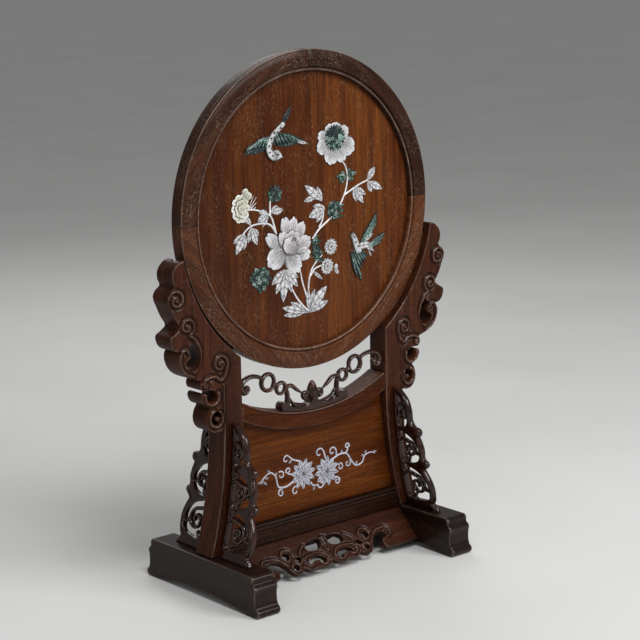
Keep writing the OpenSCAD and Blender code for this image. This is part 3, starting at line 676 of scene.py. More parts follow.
def shell(name, tones, tint_tone, line_tone, cloud=90.0, gloss=0.24, glint_tone=(0.8, 0.8, 0.8)):
    """Polished shell with clouds of colour and dark engraved lines, which also carry painted shade and
    painted shadow. Where its tint is above zero it turns to one tone, below zero it flashes to another."""
    finish, shader, place = new_finish(name, Coat_Weight=0.12, Coat_Roughness=0.12, Specular_IOR_Level=0.3)
    drift = place.node("TexNoise", {"Vector": place, "Scale": cloud, "Detail": 3, "Roughness": 0.6})
    grains = place.node("TexNoise", {"Vector": place, "Scale": 7 * cloud, "Detail": 2})
    stops = {k / (len(tones) - 1): tone for k, tone in enumerate(tones)}
    shade = drift.between(0.28, 0.74) * 0.75 + grains.between(0.3, 0.7) * 0.25
    tone = shade.node("ValToRGB", {0: shade}, stops=stops)
    line = place.node("Attribute", {}, "Fac", attribute_name="line")
    tint = place.node("Attribute", {}, "Fac", attribute_name="tint")
    tone = (tint * (0.6 + 0.4 * grains)).mix(tone, tint_tone)
    tone = ((0 - tint) * grains.between(0.35, 0.6)).mix(tone, glint_tone)
    scratch = place.node("TexNoise", {"Vector": place, "Scale": 900, "Detail": 2}).between(0.56, 0.68) * 0.3
    tone = (line * 0.9 + scratch).mix(tone, line_tone)
    tone.feeds(shader, "Base Color")
    (gloss + 0.2 * grains + 0.25 * line).feeds(shader, "Roughness")
    bump = place.node("Bump", {"Height": grains - line, "Strength": 0.25, "Distance": 0.15 * MM}, "Normal")
    bump.feeds(shader, "Normal")
    return finish


WAIST_FACE = box_mm("waist_panel")[0].y
LOTUS_Z = RAIL_TOP + 43
# Dark of the engraved lines, also used for painted shade and painted shadow on petals.
LINE_AND_SHADE_DARK = (0.03, 0.024, 0.022)
WHITE_TONES = [
    (0.26, 0.265, 0.29), (0.48, 0.48, 0.51), (0.64, 0.63, 0.65), (0.42, 0.45, 0.48), (0.76, 0.75, 0.75)]
# A darker, bluer copy of the white shell for the lotus: partly its own tone, partly painted shade.
GREY_AND_SHADED_TONES = [(0.74 * r, 0.75 * g, 0.84 * b) for r, g, b in WHITE_TONES]
grey_and_shaded_shell = shell("grey_and_shaded_shell", GREY_AND_SHADED_TONES, (0.3, 0.3, 0.33), LINE_AND_SHADE_DARK, cloud=150.0)
lotus_flowers = []
for middle_x, middle_z, first in ((-15, LOTUS_Z, 8), (21, LOTUS_Z - 4, 20)):
    for ring, (count, long, wide, lift) in enumerate(((11, 19.5, 7.2, 0), (7, 12, 5.6, 0.5))):
        for k in range(count):
            lotus_flowers.append(petal(
                WAIST_FACE, (middle_x, middle_z), first + 18 * ring + 360 * k / count, long, wide,
                full=1.25, dome=0.35, lift=lift, veins=1, fine=0.9))
lotus_flowers = join(lotus_flowers, "lotus_flowers_piece")
VINE_W = 2.0
vines = [
    [(-30, -6), (-40, -10), (-52, -8), (-56, 5), (-64, 11), (-74, 6), (-76, 2)],
    [(27, 7), (40, 12), (52, 11), (59, 2), (66, -6), (76, -5), (81, 3), (90, 5), (97, 3)],
    [(-20, 16), (-30, 20), (-36, 25)], [(-30, 2), (-36, 4), (-40, 7)], [(-4, -12), (0, -17), (8, -18)],
    [(19, 12), (17, 20), (14, 24)], [(36, 10), (36, 18), (33, 22)], [(33, -1), (38, 1), (41, -1)],
    [(50, 11), (54, 16), (54, 20)], [(32, -14), (38, -15), (39, -19)]]
curls = [
    ((-40, 22), 5, 30, 300), ((-37, 8), 4, 200, -300), ((-48, 5), 5, 130, -330), ((-48, -16), 5, 100, 300),
    ((-27, -18), 5.5, 60, 300), ((10, 20), 6, 20, 300), ((30, 18), 5, 40, 300), ((53, 20), 4, -20, 320),
    ((42, -3), 4.5, 100, -320), ((54, -1), 5, 60, -320), ((37, -19), 4.5, 60, -320),
    ((12, -18), 5, 180, 300)]
spurs = [
    ((-74, 7), 245, 9), ((93, 5), -5, 8), ((-56, 4), 75, 7), ((60, 0), 215, 7), ((-31, 20), 215, 7),
    ((36, 17), 110, 7), ((54, 17), 60, 6), ((-46, -10), 250, 7), ((66, -6), 60, 6), ((-64, 11), 130, 6),
    ((2, -18), 250, 6), ((44, 12), 75, 6), ((-75, 3), 190, 8), ((-75, 3), 320, 9), ((-72, 5), 10, 6),
    ((81, 3), 170, 7), ((82, 4), 80, 6)]
lotus_vines = [
    stem(WAIST_FACE, curve_through(path) + [0, LOTUS_Z], (1.25 * VINE_W, 0.8 * VINE_W))
    for path in vines]
lotus_vines += [
    stem(WAIST_FACE, spiral(place, r, start, turn, 0.35, 16) + [0, LOTUS_Z], (VINE_W, 0.75 * VINE_W))
    for place, r, start, turn in curls]
lotus_vines += [
    petal(WAIST_FACE, (x, LOTUS_Z + z), angle, long, 2.8, full=0.8, veins=1, fine=0.8)
    for (x, z), angle, long in spurs]
lotus_vines = join(lotus_vines, "lotus_vines_piece")
dress(lotus_flowers, "stand", "white_shell", grey_and_shaded_shell, "lotus_flowers")
dress(lotus_vines, "stand", "white_shell", grey_and_shaded_shell, "lotus_vines")

# CREST
# An openwork scroll of dark brown rosewood that fills the gap between the curved rail and the round
# frame, fretted from one board, carved on both faces and tenoned into the rail.


def knob(place, r, deep=1.0):
    """A round knob on a flat board."""
    bpy.ops.object.select_all(action="DESELECT")
    bpy.ops.mesh.primitive_uv_sphere_add(segments=24, ring_count=16, radius=r * MM)
    made = bpy.context.object
    reshape(made, lambda p: p * [1, 1, deep] + [place[0], place[1], 0])
    return made


crest_low, crest_high = box_mm("crest_scroll")
CREST_T = crest_high.y - crest_low.y
CREST_Y = (crest_high.y + crest_low.y) / 2
SCROLL_DEEP = 1.35
CREST_FOOT = np.array([0, DISC_Z - RAIL_IN])
base_half = curve_through([
    (49, 5.6), (50, 11), (46, 15), (40, 13.5), (35, 8.5), (22, 5.8), (12, 6.2), (6, 9), (3, 15)], 3)
rail_line = arc(0, -CREST_FOOT[1] + DISC_Z, RAIL_IN - 0.4, -77.5, -102.5, 24)
base_loop = np.concatenate([base_half, base_half[::-1] * [-1, 1], rail_line[::-1]]) + CREST_FOOT
BUD_W = (11, 8, 12, 15, 13, 9, 2)
crest_boards = [
    flat_board("crest", [base_loop], CREST_T - 1),
    rod(curve_through([(0, 5), (0, 15), (0, 24), (0, 33)]) + CREST_FOOT, BUD_W, 0.8)]
crest_scrolls = [
    (curve_through([(38, 8), (37, 16), (37.5, 24), (39.6, 31)]), (6.4, 5)),
    (spiral((46.5, 31), 7, 170, -350, 0.82), (4.8, 4.2)),
    (spiral((65, 41.5), 10, 222, 350, 0.86), (4.8, 5.2, 5.2, 4.4)),
    (curve_through([(52.5, 35.5), (56, 37.5), (58.5, 35)]), (4.4, 4.4)),
    (curve_through([
        (73, 47), (81, 50.5), (89.5, 51.6), (97, 49.8), (103, 45), (103.6, 38.5), (99, 34.8), (94.5, 37),
        (94, 40)]), (4.6, 5.6, 6.4, 6.8, 5)),
    (curve_through([(40, 32), (31, 31.5), (23, 25.5), (15.5, 20.5)]), (4.4, 5.4, 4.6, 1.8)),
    (curve_through([(11, 5.5), (22, 7.5), (30, 11), (33.5, 17.5)]), (5, 5.4, 4.4, 1.8)),
    (spiral((10.5, 17.5), 4.8, 255, 420, 0.3), (4.6, 3.4))]
crest_beads = []
for side in (-1, 1):
    for path, wide in crest_scrolls:
        path = path * [side, 1] + CREST_FOOT
        crest_boards.append(rod(path, wide, SCROLL_DEEP))
        crest_beads.append(path)
    crest_boards.append(knob((46 * side, 10.5 + CREST_FOOT[1]), 5.4, 1.2))
    crest_boards.append(knob((95.4 * side, 39.5 + CREST_FOOT[1]), 3.6, 1.2))
crest = join(crest_boards, "crest_scroll_piece")
work_down(crest, grain=0.8, rounds=3)
carve(crest, crest_beads, high=0.4, wide=1.1)
mark_wear_and_painted_light(crest)
reshape(crest, lambda p: columns(p[:, 0], CREST_Y - p[:, 2], p[:, 1]))
crest_wood = wood(
    "crest_rosewood", DARK_RED, (0.034, 0.013, 0.009), (0.07, 0.028, 0.018),
    pores=0.1, gloss=0.26, polish=0.5)
dress(crest, "stand", "dark_rosewood", crest_wood, "crest_scroll")

# APRONS
# Two sloping boards of reddish rosewood under the lower rail, front and back, pierced and carved with
# scrolls along their lower edge and held by stub tenons in the feet.
APRON_T, APRON_IN = 9.0, 6.0
SLOPE = math.sqrt(0.5)
apron_face_y = APRON_IN - POST_T / 2
apron_end = foot_low.x - FIT
lower_edge = curve_through([
    (0, -42), (2.5, -46), (8, -48.2), (16, -48.8), (26, -48.2), (36, -48.5), (41, -45.5), (43.5, -43.5),
    (46, -46), (52, -48.8), (58, -48), (62.5, -43), (66, -37), (71, -31), (78, -27.5), (85, -27),
    (89.5, -30.5), (88.5, -35), (84.5, -35.5), (81, -38), (79.8, -43), (81.5, -47.5), (86, -48.8)])
right_edge = np.concatenate([lower_edge, [(apron_end, -48.8), (apron_end, 18)]])
apron_loop = np.concatenate([right_edge, (right_edge * [-1, 1])[:0:-1]])
apron_holes = []
for hole in (
        [(5.5, -14), (14, -12.8), (24, -15), (28.5, -20), (26, -25), (17, -26.5), (9, -24.5), (5.5, -19)],
        [(9.5, -39), (13, -35), (20, -33.4), (28, -34.5), (33.5, -38.5), (31, -41.5), (26, -38.6),
        (20, -38.8), (15.5, -43), (11, -43.5)],
        [(55, -24), (58, -20.8), (63, -21), (65.5, -25), (63.5, -29), (58.5, -29.3)],
        [(41.5, -30.5), (46, -28.2), (50, -31), (52.5, -33.8), (47, -34.3), (42.5, -33.2)],
        [(49.5, -40.5), (53.5, -37.6), (58, -39.5), (57, -43.4), (52, -44)]):
    edge = curve_through(hole, 4, closed=True)
    apron_holes += [edge, edge * [-1, 1]]
apron_front = flat_board("apron_front_piece", [apron_loop, *apron_holes], APRON_T - 2 * EASE, -APRON_T / 2)
trim(apron_front, (0, -0.5, 0), (0, SLOPE, SLOPE))
trim(apron_front, (0, 12, 0), (0, SLOPE, -SLOPE))
work_down(apron_front, grain=0.9, rounds=3)
apron_beads = [curve_through([(0, -31), (0.01, -22), (0, -12.5)])]
for scroll in (
        spiral((60, -24.5), 9.3, 200, -470, 0.35), spiral((53.5, -41), 6.3, 20, 420, 0.4),
        tendril([(64, -36), (70, -28.5), (78, -23.6), (87, -22.6)], (91, -29.5), 7.6, 110, -400, 0.35),
        tendril(
            [(5, -44), (6.5, -36), (13, -31), (22, -29.8), (31, -31)], (32.5, -38.5), 7.6, 85, -330, 0.4),
        spiral((14, -40.5), 6.6, 180, 330, 0.45),
        curve_through([(1, -30), (4, -21), (3.5, -14)]), curve_through([(31, -17), (38, -22), (41, -27.5)]),
        curve_through([(40, -33), (46, -37.5), (52, -34.8)])):
    apron_beads += [scroll, scroll * [-1, 1]]
carve(apron_front, apron_beads, high=1.1, wide=1.1)
mark_wear_and_painted_light(apron_front)
reshape(apron_front, lambda p: columns(
    p[:, 0], apron_face_y + SLOPE * (p[:, 1] - p[:, 2]), FOOT_H + SLOPE * (p[:, 1] + p[:, 2])))
apron_back = twin(apron_front, "apron_back_side_piece", lambda p: p * [1, -1, 1])
apron_wood = wood(
    "apron_rosewood", RED_DARK, (0.034, 0.0092, 0.0042), (0.06, 0.017, 0.007), pores=0.1, gloss=0.32)
dress(apron_front, "stand", "rosewood", apron_wood, "apron_front")
dress(apron_back, "stand", "rosewood", apron_wood, "apron_back_side")

# SPANDRELS
# Four standing spandrels of rosewood, front and back of each post, with a rounded lobed edge
# and pierced tendrils. They follow the flare of the posts and are pegged to post and foot. Their near-black
# tone is partly the wood's own and partly painted shade.
SPANDREL_HALF = 4.9
spandrel_edge = curve_through([
    (-6, 152), (2, 149), (11, 145), (20, 137), (26, 123), (27, 108), (33, 104.5), (40, 103), (41.5, 97.5),
    (37, 93.5), (35, 90), (40, 85), (42.5, 76), (42, 66), (46, 64), (48.5, 59.5), (45, 55), (40, 52),
    (43.5, 46), (48, 37), (50, 26), (48, 14), (44, 8), (48, 5), (52, 1), (51, -6)], 5)
spandrel_loop = np.concatenate([np.clip(spandrel_edge, FIT, None), [(FIT, FIT)]])
spandrel_holes = [curve_through(hole, 5, closed=True) for hole in (
    [(5.5, 104), (16, 103), (20.5, 110), (20, 122), (14.5, 132), (5.5, 138)],
    [(5.5, 58), (20, 57.5), (32, 62), (36, 69), (35.5, 78), (30, 86), (20, 92.5), (6, 93.5)],
    [(5.5, 12), (24, 11), (38, 13), (43, 20), (43.5, 29), (40, 38), (32, 46), (18, 51), (5.5, 51)])]
spandrel_rims = [
    ([(2, 148.5), (11, 142.3), (19, 134), (23, 122), (24, 110), (29, 103.5), (36, 101)], (5, 6.6, 6.6, 6)),
    ([(35, 92), (37, 86), (39.4, 77), (39, 67), (43, 61)], (5.4, 6.6, 6.6, 5.6)),
    ([(43, 57.5), (38, 51.5), (41.5, 44), (45.5, 35), (46.8, 26), (45, 15), (41.5, 8.5), (46.5, 4.5)],
     (5.4, 6.6, 6.6, 5.4))]
spandrel_knobs = [((35.5, 98.5), 6.4), ((43.5, 59.8), 5), ((47.5, 3.2), 3)]
spandrel_scrolls = [
    tendril([(5, 127), (9, 128), (13, 125.5)], (12, 117.5), 7, 70, -430, 0.3),
    tendril([(5, 84), (10, 86), (17, 84.5)], (19.5, 74.5), 9.5, 95, -470, 0.25),
    tendril([(5, 41), (11, 44), (20, 42.5)], (23, 29.5), 12.5, 95, -500, 0.2),
    curve_through([(37, 72), (32, 71), (28, 74)]), curve_through([(13, 57), (15.5, 61), (18, 65)]),
    curve_through([(44, 26), (39, 25), (35, 28)]), curve_through([(13, 11), (15.5, 15), (19, 17.5)])]
post_strip = [(FIT, FIT), (4.5, FIT), (4.5, 145.5), (FIT, 147)]
foot_strip = [(FIT, FIT), (49, FIT), (46, 5), (42, 10), (FIT, 10)]
spandrel = join([
    flat_board("spandrel", [spandrel_loop, *spandrel_holes], 6),
    flat_board("strip", [post_strip], 8), flat_board("strip", [foot_strip], 9.4),
    *(rod(curve_through(path), wide, 1.5) for path, wide in spandrel_rims),
    *(knob(place, r, 0.85) for place, r in spandrel_knobs),
    *(rod(path, (5, 3.4), 1.7) for path in spandrel_scrolls)], "spandrel_front_right_piece")
reshape(spandrel, lambda p: np.clip(p, [FIT, FIT, -SPANDREL_HALF], [np.inf, np.inf, SPANDREL_HALF]))
work_down(spandrel, grain=0.8, rounds=4)
carve(spandrel, spandrel_scrolls, high=0.6, wide=1.2)
mark_wear_and_painted_light(spandrel)
POST_MID = (POST_IN + POST_OUT) / 2
reshape(spandrel, lambda p: columns(
    POST_MID + flare(FOOT_H + p[:, 1]) + p[:, 2], -POST_T / 2 - p[:, 0], FOOT_H + p[:, 1]))
edit(spandrel, close_up)
# Near-black tones: partly the wood's own, partly painted shade.
spandrel_wood = wood(
    "spandrel_rosewood", DARK_RED, (0.021, 0.0052, 0.0029), (0.048, 0.0125, 0.006), UPRIGHT,
    pores=0.1, gloss=0.26, polish=0.6)
for name, rule in (
        ("spandrel_front_left", (-1, 1, 1)), ("spandrel_back_right", (1, -1, 1)),
        ("spandrel_back_left", (-1, -1, 1))):
    other = twin(spandrel, name + "_piece", lambda p, rule=rule: p * rule)
    dress(other, "stand", "dark_rosewood", spandrel_wood, name)
dress(spandrel, "stand", "dark_rosewood", spandrel_wood, "spandrel_front_right")

# PEGS
# Short bamboo pegs, hidden in their bores, hold the spandrels to the posts and the feet. The loose keys
# in the joints of the round frame, hidden too, are split from the same bamboo.
bamboo = wood("bamboo", (0.26, 0.15, 0.06), (0.45, 0.3, 0.13), (0.56, 0.4, 0.2), UPRIGHT, pores=0.1)
for hidden in ("spandrel_pegs", "ring_keys"):
    oil(hidden, bamboo)

# ROUND FRAME
# Four segments of open-pored rosewood, keyed end to end, with a crowned face, a fine lip round the panel
# and a tongue on the lower two that rides in the grooves of the wings.
ring_low, ring_high = box_mm("ring_upper_right")
RING_T = ring_high.y - ring_low.y
PANEL_LAP = 7.0
RING_IN = panel_high.x - PANEL_LAP
RING_MID = (RING_IN + DISC_R) / 2
CROWN = 2.0
front = RING_T / 2 - CROWN
crown_r = np.linspace(RING_IN + 5.2, DISC_R - 1.3, 14)
crown = front + CROWN * (1 - ((crown_r - RING_MID) / (DISC_R - RING_MID)) ** 2)
panel_front, panel_back = -panel_low.y, -panel_high.y
LIP_R, EDGE_R = 2.2, 1.2
QUIRK = 4.5
PANEL_FIT = 0.15
groove_r = RING_IN + PANEL_LAP + PANEL_FIT
ring_profile = np.concatenate([
    [(RING_IN, panel_front + PANEL_FIT)],
    arc(RING_IN + LIP_R, front - 1.4, LIP_R, 180, 25, 9),
    [(RING_IN + QUIRK, front - 0.7)],
    np.column_stack([crown_r, crown]),
    arc(DISC_R - EDGE_R, front - EDGE_R / 2, EDGE_R, 60, 0, 4),
    [(DISC_R, 3.6), (DISC_R - 0.8, 3), (DISC_R, 2.4)],
    arc(DISC_R - EDGE_R, EDGE_R - RING_T / 2, EDGE_R, 0, -90, 4),
    arc(RING_IN + EDGE_R, EDGE_R - RING_T / 2, EDGE_R, -90, -180, 4),
    [(RING_IN, panel_back - PANEL_FIT), (groove_r, panel_back - PANEL_FIT),
     (groove_r, panel_front + PANEL_FIT)]])
SEAM = 0.04
PALE_PORE = (0.36, 0.27, 0.2)


def spun(name, profile, start, turn, steps):
    """A profile of radius and forward distance, spun about the middle of the frame from an angle."""
    bpy.ops.object.select_all(action="DESELECT")
    bpy.ops.mesh.primitive_circle_add(vertices=len(profile), fill_type="NOTHING")
    made = bpy.context.object
    made.name = name
    a = math.radians(start)
    reach, forward = np.asarray(profile, float).T
    reshape(made, lambda p: columns(reach * math.cos(a), -forward, DISC_Z + reach * math.sin(a)))
    edit(made, lambda: bpy.ops.mesh.spin(
        steps=steps, angle=math.radians(turn), center=(0, 0, DISC_Z * MM), axis=(0, 1, 0)))
    edit(made, lambda: bpy.ops.mesh.fill_holes(sides=0), close_up)
    return made


TONGUE_ROOT, TONGUE_OUT, TONGUE_HALF, TONGUE_TURN = 4, 10, 4, 38
tongue = [
    (DISC_R - TONGUE_ROOT, -TONGUE_HALF), (DISC_R + TONGUE_OUT, -TONGUE_HALF),
    (DISC_R + TONGUE_OUT, TONGUE_HALF), (DISC_R - TONGUE_ROOT, TONGUE_HALF)]
# The upper segments are toned darker than the lower ones: partly the boards' own tone, partly painted shade.
segments = [
    ("ring_upper_right", 0, (0.007, 0.002, 0.0014), (0.024, 0.0075, 0.0035), (0.046, 0.0155, 0.0065), None),
    ("ring_upper_left", 90, (0.01, 0.003, 0.0015), (0.036, 0.011, 0.0045), (0.064, 0.022, 0.009), None),
    ("ring_lower_left", 180, (0.018, 0.005, 0.002), (0.063, 0.019, 0.007), (0.102, 0.035, 0.013), 194),
    ("ring_lower_right", 270, (0.026, 0.007, 0.002), (0.094, 0.027, 0.008), (0.145, 0.047, 0.014), 308)]
for name, start, dark, body, light, tongue_start in segments:
    segment = spun(name + "_piece", ring_profile, start + SEAM, 90 - 2 * SEAM, 48)
    finish_with(
        segment, "BEVEL", width=EASE * MM, segments=2, limit_method="ANGLE", angle_limit=math.radians(55))
    if tongue_start:
        segment = join([segment, spun("tongue", tongue, tongue_start, TONGUE_TURN, 20)], name + "_piece")
    x, y, z = rows(segment).T / MM
    reach, forward = np.hypot(x, z - DISC_Z), -y
    # A painted highlight on the inner lip and the outer arris, partly rubbing, and painted shade in the
    # quirk.
    lip = np.exp(-((reach - RING_IN - 1.6) / 1.2) ** 2) * (forward > panel_front + 0.2)
    arris = np.exp(-((reach - DISC_R + 0.4) / 0.8) ** 2 - ((forward - front + 0.1) / 0.8) ** 2)
    quirk = np.exp(-((reach - RING_IN - QUIRK) / 0.4) ** 2) * (forward > panel_front)
    store(segment, "wear_and_painted_light", 0.8 * lip + arris - 0.6 * quirk)
    ring_wood = wood(
        name + "_rosewood", dark, body, light, (0, -(start + 135), 0), pores=0.42, pore_tone=PALE_PORE,
        gloss=0.38, rub_highlight=0.9, fine=1.7)
    dress(segment, "screen", "ring_rosewood", ring_wood, name)

# ROUND PANEL
# A round board of reddish brown rosewood with upright grain and open pores, held in the frame's groove.
# Its wood is darker towards its left, partly its own tone and partly painted shade.
panel_wood = wood(
    "panel_rosewood", (0.02, 0.004, 0.001), (0.088, 0.02, 0.003), (0.146, 0.04, 0.006), UPRIGHT,
    pores=0.36, pore_tone=(0.32, 0.19, 0.1), gloss=0.4, shaded=0.6, fine=1.4)
oil("round_panel", panel_wood)

# FLOWERS OF THE INLAY
# Peony, poppy, chrysanthemum and daisies cut from white, green and cream shell, laid on the round panel
# and engraved petal by petal.
FACE = panel_low.y


def on_panel(*args, **more):
    """A petal or leaf on the round panel, placed from the middle of the frame."""
    leaf = petal(FACE, *args, **more)
    reshape(leaf, lambda p: p + [0, 0, DISC_Z])
    return leaf


def set_in(leaves, node, slot, finish):
    """Joins the leaves of one CAD node into its piece on the screen."""
    piece = join(leaves, node + "_piece")
    dress(piece, "screen", slot, finish, node)


white_shell = shell("white_shell", WHITE_TONES, (0.62, 0.54, 0.545), LINE_AND_SHADE_DARK, cloud=150.0)
GREEN_TONES = [
    (0.001, 0.004, 0.004), (0.004, 0.02, 0.014), (0.012, 0.085, 0.045), (0.002, 0.01, 0.01),
    (0.02, 0.12, 0.07), (0.22, 0.46, 0.36), (0.55, 0.66, 0.62)]
green_shell = shell(
    "green_shell", GREEN_TONES, (0.003, 0.006, 0.015), (0.001, 0.002, 0.002), cloud=170.0, gloss=0.2,
    glint_tone=(0.42, 0.62, 0.54))
CREAM_TONES = [(0.5, 0.51, 0.42), (0.66, 0.67, 0.57), (0.74, 0.75, 0.66)]
cream_shell = shell("cream_shell", CREAM_TONES, (0.64, 0.62, 0.46), (0.14, 0.12, 0.07), cloud=80.0)

peony = []
for base, angle, long, wide, lift, lobes, tint in (
        ((-35, -42), 141, 33, 17, 0.0, 2, 0.0), ((-30, -40), 211, 34, 27, 0.1, 3, 0.0),
        ((-32, -42), -54, 35, 23, 0.2, 3, 0.0), ((-22, -45), -14, 28, 18, 0.3, 2, 0.0),
        ((-27.5, -46), -28, 20, 8, 0.4, 1, 0.0), ((-26.5, -36), 104, 34, 17, 0.5, 2, 0.4),
        ((-23, -34), 84, 30, 15, 0.6, 3, 0.4), ((-19, -38), 64, 30, 16, 0.7, 3, 0.4),
        ((-29.5, -44), 112, 27, 16, 0.8, 2, 0.45), ((-18, -46), 36, 27, 19, 0.8, 3, 0.4),
        ((-24, -34), 128, 14, 10, 1.0, 2, 0.6), ((-24, -33), 94, 14, 10, 1.1, 2, 0.6),
        ((-22, -34), 60, 14, 10, 1.0, 2, 0.6), ((-21, -36), 24, 12, 10, 1.1, 2, 0.6),
        ((-23.5, -33), 112, 8, 7, 1.4, 2, 0.7), ((-21.5, -33), 70, 8, 7, 1.4, 2, 0.7),
        ((-20, -47), 14, 20, 8, 1.2, 1, 0.3), ((-17, -47), 136, 26, 21, 1.5, 3, 0.55)):
    peony.append(on_panel(
        base, angle, long, wide, full=1.5, dome=0.7, lift=lift, frill=lobes, veins=-5, tint=tint))
for place in ((-23.5, -31), (-21.5, -32.5), (-22.5, -29.5), (-20, -30.5), (-25, -32.5)):
    peony.append(on_panel(place, 70, 2.4, 2, dome=0.4, lift=1.9, veins=0))
set_in(peony, "inlay_peony", "white_shell", white_shell)

POPPY = np.array([43, 76.5])
POPPY_CORE = 8
poppy = []
for angle, reach, wide, lift, lobes in (
        (2, 21, 15, 0.0, 2), (81, 20, 17, 0.0, 3), (124, 21, 14, 0.1, 2), (28, 24, 16, 0.1, 3),
        (168, 27, 15, 0.1, 2), (204, 30, 19, 0.2, 3), (-27, 34, 24, 0.2, 3), (254, 31, 22, 0.3, 3),
        (-65, 31, 18, 0.4, 2)):
    a = math.radians(angle)
    start = POPPY + POPPY_CORE * np.array([math.cos(a), math.sin(a)])
    poppy.append(on_panel(
        start, angle, reach - POPPY_CORE, wide, full=1.2, dome=0.6, lift=lift, frill=lobes, veins=-6))
set_in(poppy, "inlay_poppy", "white_shell", white_shell)
heart = []
for count, long, wide, lift in ((22, 15.5, 5.4, 0.6), (15, 12, 5.2, 0.9), (9, 8, 5, 1.2)):
    for k in range(count):
        angle = 18 * lift + 360 * k / count
        tint = 1.0 if math.sin(math.radians(angle)) > 0.3 else (0.3, -0.6, 0.9)[k % 3]
        heart.append(on_panel(
            POPPY + (0, 1), angle, long, wide, full=1.3, dome=0.4, lift=lift, frill=1, veins=1, tint=tint))
heart.append(on_panel(POPPY + (2.5, 1), 0, 9, 9, full=0.9, dome=1.4, lift=1.6, veins=None, tint=-0.6))
set_in(heart, "inlay_poppy_heart", "green_shell", green_shell)

CHRYSANTHEMUM = np.array([-95, 11.5])
chrysanthemum = []
for ring, (count, reach, size, lift) in enumerate(((10, 9.5, 9.5, 0), (7, 5.4, 8, 0.5), (3, 1.8, 7, 1.0))):
    for k in range(count):
        angle = 360 * k / count + 20 * ring
        a = math.radians(angle)
        start = CHRYSANTHEMUM + (
            (0.95 * reach - size / 2) * math.cos(a), (1.3 * reach - size / 2) * math.sin(a))
        chrysanthemum.append(on_panel(
            start, angle, size, size, full=1.3, dome=0.8, lift=lift, frill=1, veins=-1, tint=0.3 * ring))
for start in ((-89, 22), (-86, 20), (-91, 25)):
    chrysanthemum.append(on_panel(start, 55, 10, 9, full=1.3, dome=0.7, lift=0.3, frill=1, veins=-1))
set_in(chrysanthemum, "inlay_chrysanthemum", "cream_shell", cream_shell)

daisies = []
for place, first in (((35, -46), 0), ((29, -68), 20)):
    for count, long, wide, lift in ((12, 10.5, 4.4, 0), (7, 5.4, 3.4, 0.6)):
        for k in range(count):
            daisies.append(on_panel(
                place, first + 360 * k / count, long, wide, full=1.5, dome=0.4, lift=lift, frill=1, veins=1))
for angle, long in ((-50, 12), (-15, 7), (10, 7)):
    daisies.append(on_panel((39, -70), angle, long, 5, full=1.4, veins=1))
set_in(daisies, "inlay_daisies", "white_shell", white_shell)

# LEAVES AND STEMS OF THE INLAY
# Lobed leaves of white shell, small leaves and buds of green shell, and the domed white stems that carry
# them up from the root at the bottom of the panel.
white_leaves = []
for base, angle, long, wide, full, lift in (
        ((72, 19), -82, 18, 9, 1.0, 0.0), ((73, 18), -30, 20, 9, 1.0, 0.0),
        ((72, 19), -57, 25, 11, 1.0, 0.4), ((93, 22), -62, 14, 8, 1.0, 0.0),
        ((92, 24), 50, 20, 11, 1.1, 0.0), ((93, 23), -26, 25, 11, 1.0, 0.4),
        ((23, 7), 112, 20, 9, 1.0, 0.0), ((15, 14), 192, 20, 8, 1.0, 0.0),
        ((23, 8), 142, 34, 12, 1.0, 0.4), ((27, 0), 170, 19, 9, 1.0, 0.0),
        ((26, -2), 228, 19, 9, 1.0, 0.0), ((27, -1), 197, 27, 13, 1.0, 0.4),
        ((-52, 4), 30, 12, 6, 1.0, 0.0), ((-52, 3), 4, 18, 10, 1.0, 0.3),
        ((-57, 4), 178, 13, 7, 1.0, 0.0), ((-56, 1), 236, 16, 8, 1.0, 0.0),
        ((-56, 2), 206, 18, 10, 1.1, 0.3), ((-80, -11), -108, 18, 8, 1.0, 0.0),
        ((-79, -12), -42, 13, 7, 1.0, 0.0), ((-80, -11), -72, 22, 11, 1.0, 0.4),
        ((-91, -17), -150, 18, 8, 1.0, 0.0), ((-89, -18), -98, 17, 8, 1.0, 0.0),
        ((-90, -17), -122, 26, 12, 1.0, 0.4), ((-88, 3), -58, 14, 7, 1.0, 0.0),
        ((-87, 3), -95, 9, 5, 1.0, 0.0), ((-33, -64), 216, 26, 11, 1.0, 0.0),
        ((-31, -65), 328, 20, 10, 1.0, 0.0), ((-33, -64), 240, 31, 12, 1.0, 0.3),
        ((-32, -64), 307, 28, 12, 1.0, 0.2), ((-32, -64), 284, 29, 11, 1.0, 0.5),
        ((-33, -64), 262, 38, 13, 1.1, 0.7), ((-4, -116), 148, 27, 9, 1.0, 0.0),
        ((-8, -118), 176, 30, 8, 1.0, 0.1), ((0, -118), 164, 42, 11, 1.2, 0.4),
        ((1, -114), 68, 25, 8, 1.0, 0.0), ((0, -118), 19, 32, 11, 1.2, 0.2),
        ((0, -117), 44, 39, 14, 1.2, 0.4), ((0, -116), 90, 27, 8, 1.0, 0.3),
        ((5, -69), -38, 22, 5, 1.2, 0.0)):
    white_leaves.append(on_panel(base, angle, long, wide, full, dome=0.4, lift=lift, frill=-5))
set_in(white_leaves, "inlay_white_leaves", "white_shell", white_shell)

